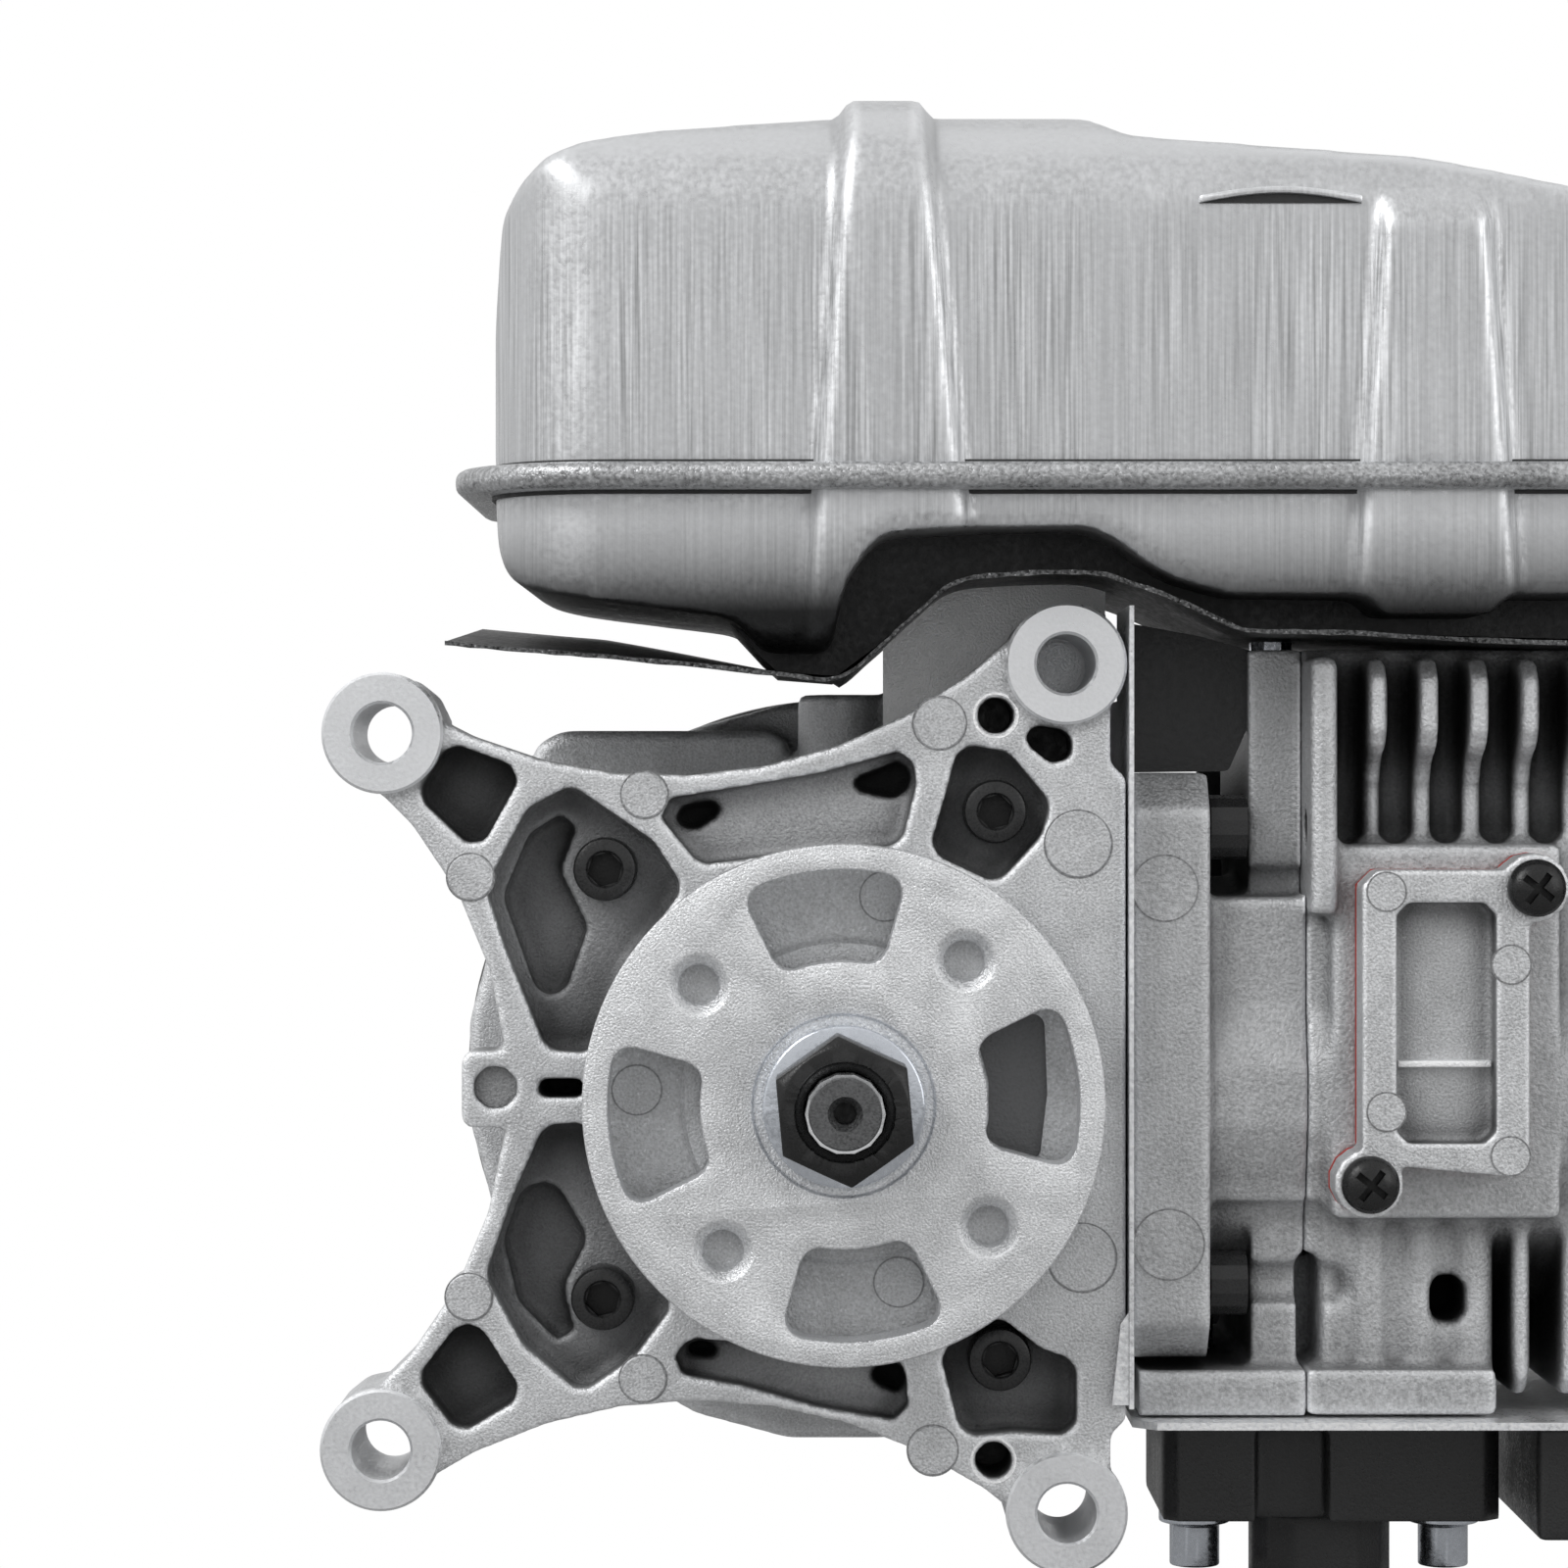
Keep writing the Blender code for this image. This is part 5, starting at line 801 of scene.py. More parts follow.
    def eased(self, width: float, segments: int = 2, angle: float = 30.0) -> "Piece":
        """Breaks the piece's sharp edges with a small bevel and shades it smooth.

        Args:
            width: Width of the bevel.
            segments: Steps across it.
            angle: Edges sharper than this, in degrees, are bevelled.

        Returns:
            The piece itself.
        """
        ease = self.obj.modifiers.new("ease", "BEVEL")
        ease.width = width * MM
        ease.segments = segments
        ease.limit_method = "ANGLE"
        ease.angle_limit = math.radians(angle)
        ease.harden_normals = False
        self._apply()
        return self.smooth()

    def smooth(self, angle: float = 35.0) -> "Piece":
        """Shades the piece smooth, apart from edges sharper than the angle."""
        self.obj.data.shade_smooth()
        self.obj.data.set_sharp_from_angle(angle=math.radians(angle))
        return self

    def moved(self, shift: Callable[[np.ndarray], np.ndarray]) -> "Piece":
        """Moves the piece's points.

        Args:
            shift: Takes the points in millimetres, one a row, and returns them moved.

        Returns:
            The piece itself.
        """
        points = np.empty(len(self.obj.data.vertices) * 3, np.float32)
        self.obj.data.vertices.foreach_get("co", points)
        placed = shift(points.reshape(-1, 3).astype(float) / MM) * MM
        self.obj.data.vertices.foreach_set("co", placed.astype(np.float32).ravel())
        self.obj.data.update()
        return self

    def dress(self, finish: Finish, body: str = "root", replaces: Sequence[str] = ()) -> bpy.types.Object:
        """Gives the piece its finish and its place in the frame.

        Args:
            finish: Its finish.
            body: The body that it rides on.
            replaces: The CAD nodes that it stands for.

        Returns:
            The finished object.
        """
        self.obj.data.materials.clear()
        self.obj.data.materials.append(finish.material())
        if replaces:
            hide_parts(*replaces)
        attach(self.obj, body)
        LOG.info("%s: %d faces", self.obj.name, len(self.obj.data.polygons))
        return self.obj


def gathered(shapes: Sequence[bmesh.types.BMesh]) -> bmesh.types.BMesh:
    """Several separate shapes as one."""
    whole = bmesh.new()
    for shape in shapes:
        data = bpy.data.meshes.new("part")
        shape.to_mesh(data)
        shape.free()
        whole.from_mesh(data)
        bpy.data.meshes.remove(data)
    return whole


def rise(value: np.ndarray, low: float, high: float) -> np.ndarray:
    """A smooth step from 0 at low to 1 at high."""
    share = np.clip((value - low) / (high - low), 0.0, 1.0)
    return share * share * (3.0 - 2.0 * share)


def centre_of(node: str) -> Vector:
    """The middle of a CAD node's box, in millimetres."""
    low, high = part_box(node)
    return (low + high) / (2.0 * MM)


def corners_of(node: str) -> tuple[Vector, Vector]:
    """A CAD node's lowest and highest corners, in millimetres."""
    low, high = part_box(node)
    return low / MM, high / MM


def prints(
    marks: Sequence[tuple[float, float, float]], face: float, name: str, finish: Finish, depth: float = 0.6
) -> None:
    """Adds round ejector prints, each with a fine painted shadow line about it, to a face across Y.

    Args:
        marks: (x, z, radius) of each print.
        face: The face's place along Y.
        name: Start of the pieces' names.
        finish: The casting's finish.
        depth: How far the prints reach behind the face.
    """
    front, back = face - 0.15, face + depth
    edge_front, edge_width = face - 0.1, 0.22
    discs, edges = [], []
    for x, z, radius in marks:
        discs.append(turned([(0.0, front), (radius, front), (radius, back), (0.0, back)], Axis.Y, (x, z), 48))
        wide = radius + edge_width
        rim = [(radius, edge_front), (wide, edge_front), (wide, back), (radius, back)]
        edges.append(turned(rim, Axis.Y, (x, z), 48))
    Piece(name + "_prints", gathered(discs)).smooth().dress(replace(finish, name=finish.name + "_print", edge_wear_and_highlight=0.0))
    Piece(name + "_print_shadow_lines", gathered(edges)).smooth().dress(PRINT_SHADOW_LINE)


# ---------------------------------------------------------------- studio
@dataclass
class Studio:
    """Camera, floor, backdrop and soft light."""

    eye: Place = (-7.6, -600.0, 40.9)
    lens: float = 106.3
    floor_gap: float = 0.3
    floor_half: float = 2500.0
    room: float = 0.74
    bounce: float = 0.35

    def build(self) -> None:
        """Sets the camera, the stage and the lights."""
        self._camera()
        self._stage()
        self._lights()
        bpy.context.scene.view_settings.view_transform = "Standard"

    def _camera(self) -> None:
        """A level camera that looks into the engine along Y."""
        camera = bpy.data.cameras.new("camera")
        camera.lens = self.lens
        camera.sensor_width = 36.0
        camera.clip_start = 0.01
        obj = bpy.data.objects.new("camera", camera)
        obj.location = Vector(self.eye) * MM
        obj.rotation_euler = (math.radians(90.0), 0.0, 0.0)
        bpy.context.scene.collection.objects.link(obj)
        bpy.context.scene.camera = obj

    def _stage(self) -> None:
        """A pale floor that the engine stands on."""
        height = CAD_BOX[0][2] / MM - self.floor_gap
        bm = bmesh.new()
        bmesh.ops.create_grid(bm, x_segments=1, y_segments=1, size=self.floor_half)
        bmesh.ops.translate(bm, vec=(0, 0, height), verts=bm.verts)
        floor = Piece("floor", bm).obj
        pale = bpy.data.materials.new("pale_floor")
        pale.use_nodes = True
        shader = pale.node_tree.nodes["Principled BSDF"]
        shader.inputs["Roughness"].default_value = 0.9
        shader.inputs["Specular IOR Level"].default_value = 0.0
        graph = Graph(pale.node_tree)
        seen = graph.node("LightPath").outputs["Is Camera Ray"]
        level = graph.math("MULTIPLY_ADD", seen, 0.93 - self.bounce, self.bounce)
        tone = graph.node("CombineColor")
        for socket in tone.inputs:
            graph.feed(socket, level)
        graph.feed(shader.inputs["Base Color"], tone.outputs[0])
        distance = graph.node("VectorMath", operation="LENGTH")
        graph.feed(distance.inputs[0], graph.node("TexCoord").outputs["Object"])
        far = graph.spread(distance.outputs["Value"], 0.2, 0.5)
        white = graph.node("Emission")
        blend = graph.node("MixShader")
        graph.feed(blend.inputs[0], graph.math("MULTIPLY", far, seen))
        graph.feed(blend.inputs[1], shader.outputs[0])
        graph.feed(blend.inputs[2], white.outputs[0])
        graph.feed(pale.node_tree.nodes["Material Output"].inputs["Surface"], blend.outputs[0])
        floor.data.materials.append(pale)

    def _lights(self) -> None:
        """A bright white room with large soft lamps."""
        world = bpy.data.worlds.new("white_room")
        world.use_nodes = True
        graph = Graph(world.node_tree)
        back = world.node_tree.nodes["Background"]
        back.inputs["Color"].default_value = (1.0, 1.0, 1.0, 1.0)
        seen = graph.node("LightPath").outputs["Is Camera Ray"]
        graph.feed(back.inputs["Strength"], graph.math("MULTIPLY_ADD", seen, 1.0 - self.room, self.room))
        bpy.context.scene.world = world
        lamps = (
            ("key", (-550.0, -500.0, 600.0), 420.0, 3.2),
            ("fill", (700.0, -500.0, 250.0), 500.0, 0.9),
            ("top", (0.0, 100.0, 900.0), 700.0, 0.4),
        )
        for name, place, size, power in lamps:
            lamp = bpy.data.lights.new(name, "AREA")
            lamp.shape = "SQUARE"
            lamp.size = size * MM
            lamp.energy = power
            obj = bpy.data.objects.new(name, lamp)
            obj.location = Vector(place) * MM
            obj.rotation_euler = (-obj.location).to_track_quat("-Z", "Y").to_euler()
            bpy.context.scene.collection.objects.link(obj)


# ---------------------------------------------------------------- crankcase
@dataclass
class Crankcase:
    """The two case halves, the faces of the four arms and the screws between them."""

    pads: Sequence[Point] = ((-59.7, 47.5), (-59.9, -45.5), (29.1, -53.7), (29.0, 56.5))
    pad_radius: float = 7.9
    pad_depth: float = 2.5
    bore_radius: float = 3.85
    boss_length: float = 22.0
    rim: float = 1.0
    pin_marks: Sequence[tuple[float, float, float]] = (
        (30.6, 33.1, 4.3), (31.1, -20.6, 4.4), (11.7, -45.6, 3.2), (12.6, 48.8, 3.4),
        (-25.7, 39.5, 3.0), (-48.3, 28.8, 3.0), (-48.5, -25.7, 3.0), (-25.9, -36.3, 3.0),
    )
    small_bores: Sequence[tuple[float, float, float]] = ((19.9, 49.8, 2.5), (19.6, -46.9, 2.5))
    face_front: float = -2.2
    face_outer: float = 31.5
    face_inner: float = 15.4
    face_depth: float = 6.0
    face_marks: Sequence[tuple[float, float, float]] = ((-26.6, 1.4, 3.1), (7.2, -23.4, 3.1), (5.4, 26.4, 3.1))
    step_radius: float = 21.0
    step_height: float = 1.3
    pocket: Sequence[Point] = ((17.2, -8.8), (25.4, -7.6), (26.4, 1.0), (26.0, 11.2), (17.2, 11.2))
    pocket_floor: Sequence[Point] = ((16.8, -9.2), (25.8, -8.0), (26.8, 1.0), (26.4, 11.6), (16.8, 11.6))
    floor_place: float = 14.0
    ear: Point = (-45.1, 1.5)
    ear_radius: float = 3.3
    screws: Sequence[str] = ("case_screw_1", "case_screw_2", "case_screw_3", "case_screw_4")

    def build(self) -> None:
        """Builds every piece of the crankcase."""
        Piece.of_node("front_case", "front_case_casting").cast(0.6, 3).dress(CAST_FRONT, replaces=["front_case"])
        Piece.of_node("rear_case", "rear_case_casting").cast(0.85).dress(CAST_REAR, replaces=["rear_case"])
        Piece("arm_pads", gathered([self._pad(place) for place in self.pads])).smooth(25.0).dress(MACHINED)
        marks = [self._pin_mark(*mark) for mark in self.pin_marks]
        Piece("pin_marks", gathered(marks)).smooth(25.0).dress(PRINT)
        rings = [self._ring(x, z, radius) for x, z, radius in self.pin_marks]
        Piece("pin_mark_shadow_lines", gathered(rings)).smooth().dress(PRINT_SHADOW_LINE)
        lips = [self._bore_lip(*bore) for bore in self.small_bores]
        Piece("arm_bore_edges", gathered(lips)).smooth(25.0).dress(CAST)
        self._face_behind_disc()
        self._closed_floors()
        for node in self.screws:
            self._socket_screw(node)

    def _face_behind_disc(self) -> None:
        """The case's raised face close behind the drive flange, with its prints and its pocket, whose floor is
        painted dark as shade.
        """
        front, back = self.face_front, self.face_front + self.face_depth
        outer, inner, core = self.face_outer, self.face_inner, self.face_inner - 0.5
        step, lift, ease = self.step_radius, self.step_height, 0.6
        ring = [(inner, front), (outer - ease, front), (outer, front + ease), (outer, back), (inner, back)]
        collar = [
            (core, front - lift), (step - ease, front - lift), (step, front - lift + ease), (step, back - 0.5),
            (core, back - 0.5),
        ]
        face = Piece("case_face", turned(ring, sides=120)).union(turned(collar, sides=120))
        face.cut(prism(rounded(self.pocket, 1.6), Axis.Y, front - 3.0, back + 1.0)).smooth().dress(CAST_FACE)
        # painted shade: a dark grey plate as the pocket's floor
        floor = prism(rounded(self.pocket_floor, 1.6), Axis.Y, front + 1.2, front + 2.2)
        Piece("case_face_pocket_shade", floor).dress(CAST_POCKET_SHADE)
        prints(self.face_marks, front, "case_face", CAST_FACE, 0.5)

    def _closed_floors(self) -> None:
        """Near-black plates that paint the shade in the small holes beside two arms, and the floor of the ear's
        blind hole in a grey darkened as painted shade.
        """
        start, end = self.floor_place, self.floor_place + 1.0
        floors = [prism(circle((x, z), radius + 1.2, 32), Axis.Y, start, end) for x, z, radius in self.small_bores]
        floors.append(prism(rounded(rectangle((22.8, 42.6), (31.0, 49.6)), 1.5), Axis.Y, start, end))
        # painted shade: near-black plates behind the small holes
        Piece("hole_floors", gathered(floors)).dress(SCORCHED)
        ear = prism(circle(self.ear, self.ear_radius, 48), Axis.Y, self.rim + 1.6, self.rim + 3.0)
        Piece("ear_floor", ear).dress(CAST_SHADE)

    def _pad(self, place: Point) -> bmesh.types.BMesh:
        """The machined face of an arm, with its bore."""
        ease = 0.35
        outer, inner = self.pad_radius, self.bore_radius
        profile = [
            (inner, ease), (inner + ease, -0.02), (outer - ease, -0.02), (outer, ease), (outer, self.pad_depth),
            (inner + 0.6, self.pad_depth), (inner + 0.6, self.boss_length), (inner, self.boss_length),
        ]
        return turned(profile, Axis.Y, place, 72)

    def _pin_mark(self, x: float, z: float, radius: float) -> bmesh.types.BMesh:
        """The round print of an ejector pin, just proud of the rib that it stands on."""
        front, ease = self.rim - 0.25, 0.15
        profile = [(0.0, front), (radius - ease, front), (radius, front + ease), (radius, self.rim + 7.0)]
        return turned([*profile, (0.0, self.rim + 7.0)], Axis.Y, (x, z), 48)

    def _ring(self, x: float, z: float, radius: float) -> bmesh.types.BMesh:
        """The fine painted shadow line about a pin's print."""
        front, width = self.rim - 0.06, 0.2
        profile = [(radius, front), (radius + width, front), (radius + width, front + 0.5), (radius, front + 0.5)]
        return turned(profile, Axis.Y, (x, z), 48)

    def _bore_lip(self, x: float, z: float, radius: float) -> bmesh.types.BMesh:
        """The clean edge of a drilled hole."""
        front, width, length = self.rim - 0.05, 0.5, 16.0
        profile = [(radius, front + 0.2), (radius + 0.2, front), (radius + width, front)]
        return turned([*profile, (radius + width, length), (radius, length)], Axis.Y, (x, z), 48)

    def _socket_screw(self, node: str) -> None:
        """A black socket head screw in place of a CAD one."""
        low, high = corners_of(node)
        middle = centre_of(node)
        head_radius = (high.x - low.x) / 2.0
        head, shank = 4.8, 2.5
        front = low.y
        profile = [
            (0.0, front), (head_radius - 0.9, front), (head_radius - 0.25, front + 0.25),
            (head_radius, front + 0.9), (head_radius, front + head), (shank, front + head), (shank, high.y),
            (0.0, high.y),
        ]
        key = prism(arc((middle.x, middle.z), 2.35, 15.0, 315.0, 5), Axis.Y, front - 1.0, front + 2.6)
        lead = [(0.0, front - 0.5), (2.9, front - 0.5), (2.2, front + 0.35), (0.0, front + 0.35)]
        cone = turned(lead, Axis.Y, (middle.x, middle.z), 32)
        body = Piece(node + "_fine", turned(profile, Axis.Y, (middle.x, middle.z), 64))
        body.cut(key, cone).smooth().dress(BLACK_OXIDE, replaces=[node])


# ---------------------------------------------------------------- drive end
@dataclass
class DriveEnd:
    """The drive flange, its washer, its nut and the end of the shaft."""

    radius: float = 33.3
    front: float = -12.0
    back: float = -5.0
    turn: float = 5.2
    bore: float = 7.3
    hole_circle: float = 24.0
    hole_radius: float = 2.55
    hole_chamfer: float = 3.9
    hole_depth: float = 4.2
    slot_inner: float = 18.3
    slot_outer: float = 30.0
    slot_half: float = 21.0
    washer_radius: float = 10.3
    seat_radius: float = 11.6
    seat_depth: float = 0.7
    nut_corner: float = 9.5
    nut_turn: float = 95.3
    nut_front: float = -23.9
    nut_back: float = -14.0
    nut_ring: float = 6.3
    shaft_radius: float = 4.75
    shaft_front: float = -27.2
    thread_pitch: float = 1.25
    thread_depth: float = 0.5
    centre_radius: float = 1.4

    def build(self) -> None:
        """Builds every piece of the drive end."""
        self._disc()
        self._washer()
        self._nut()
        self._shaft_end()

    def _disc(self) -> None:
        """The flange: a turned disc with four slots and four tapped holes."""
        disc = Piece("drive_flange_fine", prism(circle((0, 0), self.radius, 180), Axis.Y, self.front, self.back))
        cutters = [
            prism(circle((0, 0), self.bore, 64), Axis.Y, self.front - 1.0, self.back + 1.0),
            prism(circle((0, 0), self.seat_radius, 120), Axis.Y, self.front - 1.0, self.front + self.seat_depth),
        ]
        for quarter in range(4):
            middle = self.turn + 90.0 * quarter
            cutters.append(self._slot(middle))
            cutters.append(self._tapped_hole(middle + 45.0))
        disc.cut(*cutters).eased(0.45, 3).smooth(18.0).dress(DISC, "crank", ["drive_flange"])
        floors = [
            prism(circle(self._hole_place(self.turn + 90.0 * quarter + 45.0), self.hole_radius + 0.2, 40),
                  Axis.Y, self.front + self.hole_depth, self.back - 0.5)
            for quarter in range(4)
        ]
        Piece("tapped_hole_floors", gathered(floors)).dress(CAST_FACE, "crank")

    def _hole_place(self, angle: float) -> Point:
        """The centre of the tapped hole at an angle, in degrees."""
        return arc((0, 0), self.hole_circle, angle, angle + 1.0, 1)[0]

    def _slot(self, middle: float) -> bmesh.types.BMesh:
        """A kidney slot about the axis."""
        start, end = middle - self.slot_half, middle + self.slot_half
        outer = arc((0, 0), self.slot_outer, start, end, 14)
        inner = arc((0, 0), self.slot_inner, end, start, 10)
        outline = self._round_ends(outer, inner)
        return prism(outline, Axis.Y, self.front - 1.0, self.back + 1.0)

    def _round_ends(self, outer: list[Point], inner: list[Point]) -> list[Point]:
        """The slot's outline with its four corners rounded."""
        reach = 2
        made: list[Point] = []
        runs = (outer, inner)
        for index, run in enumerate(runs):
            made += run[reach:-reach]
            following = runs[1 - index]
            corner_a, corner_b = run[-1], following[0]
            for before, corner, after in (
                (run[-reach - 1], corner_a, self._between(corner_a, corner_b, 0.3)),
                (self._between(corner_a, corner_b, 0.7), corner_b, following[reach]),
            ):
                made += [self._curve(before, corner, after, step / 6.0) for step in range(1, 6)]
        return made

    @staticmethod
    def _between(first: Point, last: Point, share: float) -> Point:
        """A point on the line between two."""
        return (first[0] + (last[0] - first[0]) * share, first[1] + (last[1] - first[1]) * share)

    def _curve(self, first: Point, corner: Point, last: Point, share: float) -> Point:
        """A point of the curve that leaves first towards a corner and arrives at last."""
        near, far = self._between(first, corner, share), self._between(corner, last, share)
        return self._between(near, far, share)

    def _tapped_hole(self, angle: float) -> bmesh.types.BMesh:
        """A tapped hole with a wide chamfer."""
        lead = self.hole_chamfer - self.hole_radius
        start, end = self.front - 1.0, self.back + 1.0
        profile = [
            (0.0, start), (self.hole_chamfer + 1.0, start), (self.hole_chamfer, self.front),
            (self.hole_radius, self.front + lead), (self.hole_radius, end), (0.0, end),
        ]
        return turned(profile, Axis.Y, self._hole_place(angle), 48)

    def _washer(self) -> None:
        """The bright zinc washer under the nut."""
        back, front, radius = self.front + self.seat_depth, self.nut_back, self.washer_radius
        profile = softened([(5.2, back), (5.2, front), (radius, front), (radius, back)], 0.35)
        Piece("drive_washer", turned(profile)).smooth().dress(ZINC, "crank")

    def _nut(self) -> None:
        """The black nut, with its corners chamfered and a ring turned into its face."""
        corner, back, front, ring = self.nut_corner, self.nut_back, self.nut_front, self.nut_ring
        bore = self.shaft_radius + 0.35
        wide = corner + 0.3
        crown = [(0.0, front), (corner - 1.6, front), (wide, front + 1.1), (wide, back), (0.0, back)]
        face = [
            (0.0, front - 1.0), (ring, front - 1.0), (ring, front + 0.5), (ring - 0.4, front + 0.9),
            (bore + 0.3, front + 1.2), (bore, front + 1.6), (bore, back + 0.5), (0.0, back + 0.5),
        ]
        sides = arc((0, 0), corner, self.nut_turn, self.nut_turn + 300.0, 5)
        nut = Piece("flange_nut_fine", prism(sides, Axis.Y, front - 1.0, back))
        nut.common(turned(crown)).cut(turned(face)).eased(0.12, 1).dress(BLACK_OXIDE, "crank", ["flange_nut"])

    def _shaft_end(self) -> None:
        """The bright end of the shaft with its thread and its centre hole, whose floor is a near-black disc as
        painted shade.
        """
        radius, tip, end = self.shaft_radius, self.shaft_front, self.nut_back + 1.0
        centre, pitch = self.centre_radius, self.thread_pitch
        thread: list[Point] = []
        for index in range(int((tip - self.nut_back) / -pitch)):
            start = tip + 1.2 + index * pitch
            thread += [(radius, start), (radius - self.thread_depth, start + pitch / 2.0)]
        profile = [
            (0.0, tip + 7.0), (centre, tip + 6.2), (centre, tip + 1.1), (centre + 0.8, tip), (radius - 0.35, tip),
            (radius, tip + 0.4), *thread, (radius, end), (0.0, end),
        ]
        Piece("shaft_end", turned(profile, sides=96)).smooth(25.0).dress(SHAFT, "crank")
        core = prism(circle((0.0, 0.0), radius - 0.6, 48), Axis.Y, tip - 1.0, tip + 12.0)
        shaft = Piece.of_node("crank_front_half", "crank_front_half_fine").cut(core)
        shaft.smooth().dress(BRIGHT, "crank", ["crank_front_half"])
        # painted shade: a near-black disc deep in the centre hole
        well = prism(circle((0.0, 0.0), centre + 0.1, 48), Axis.Y, tip + 5.0, tip + 6.6)
        Piece("shaft_centre_shade", well).dress(SCORCHED, "crank")


# ---------------------------------------------------------------- cylinder
@dataclass
class Barrel:
    """The cylinder casting, as its foot and its finned part, with the prints on its flange."""

    parting: float = 61.0
    flange_face: float = 4.0
    flange_marks: Sequence[tuple[float, float, float]] = ((42.1, 27.3, 4.2), (42.6, -19.2, 4.5))

    def build(self) -> None:
        """Builds every piece of the cylinder."""
        prints(self.flange_marks, self.flange_face, "flange", CAST_CYLINDER)
        foot = Piece.of_node("cylinder", "cylinder_foot").half(self.parting, Axis.X, above=False)
        foot.cast(0.75).dress(CAST_CYLINDER)
        fins = Piece.of_node("cylinder", "cylinder_fins").half(self.parting, Axis.X, above=True)
        fins.cast(0.9, 3).dress(CAST_CYLINDER, replaces=["cylinder"])


@dataclass
class TransferPassage:
    """The cover of the transfer passage and its two screws."""

    face: float = -3.0
    marks: Sequence[tuple[float, float, float]] = (
        (70.1, 27.0, 2.4), (86.2, 17.6, 2.4), (70.1, -1.4, 2.4), (86.1, -7.1, 2.4),
    )
    screws: Sequence[str] = ("transfer_screw_1", "transfer_screw_2")

    def build(self) -> None:
        """Builds the cover and its screws."""
        prints(self.marks, self.face, "cover", CAST)
        ridge = box((71.8, self.face + 2.2, 4.2), (84.0, self.face + 4.2, 5.1), 0.2)
        Piece("cover_pocket_step", ridge).smooth().dress(CAST)
        cover = Piece.of_node("transfer_cover", "transfer_cover_casting").cast(0.4, 3)
        cover.dress(CAST, replaces=["transfer_cover"])
        for node in self.screws:
            self._pan_screw(node)

    def _pan_screw(self, node: str) -> None:
        """A black pan head screw with a cross recess."""
        low, high = corners_of(node)
        middle = centre_of(node)
        radius = (high.x - low.x) / 2.0
        front, head, shank = low.y, 2.8, 2.0
        place = (middle.x, middle.z)
        profile = [
            (0.0, front), (radius * 0.45, front + 0.12), (radius * 0.8, front + 0.6), (radius, front + 1.5),
            (radius, front + head), (shank, front + head), (shank, high.y), (0.0, high.y),
        ]
        arms = []
        for turn in (38.0, 128.0):
            half = Matrix.Rotation(math.radians(turn), 4, "Y")
            bm = box((-2.3, front - 1.0, -0.45), (2.3, front + 1.6, 0.45))
            bmesh.ops.transform(bm, matrix=Matrix.Translation((middle.x, 0, middle.z)) @ half, verts=bm.verts)
            arms.append(bm)
        body = Piece(node + "_fine", turned(profile, Axis.Y, place, 64))
        body.cut(*arms).smooth(40.0).dress(BLACK_OXIDE, replaces=[node])


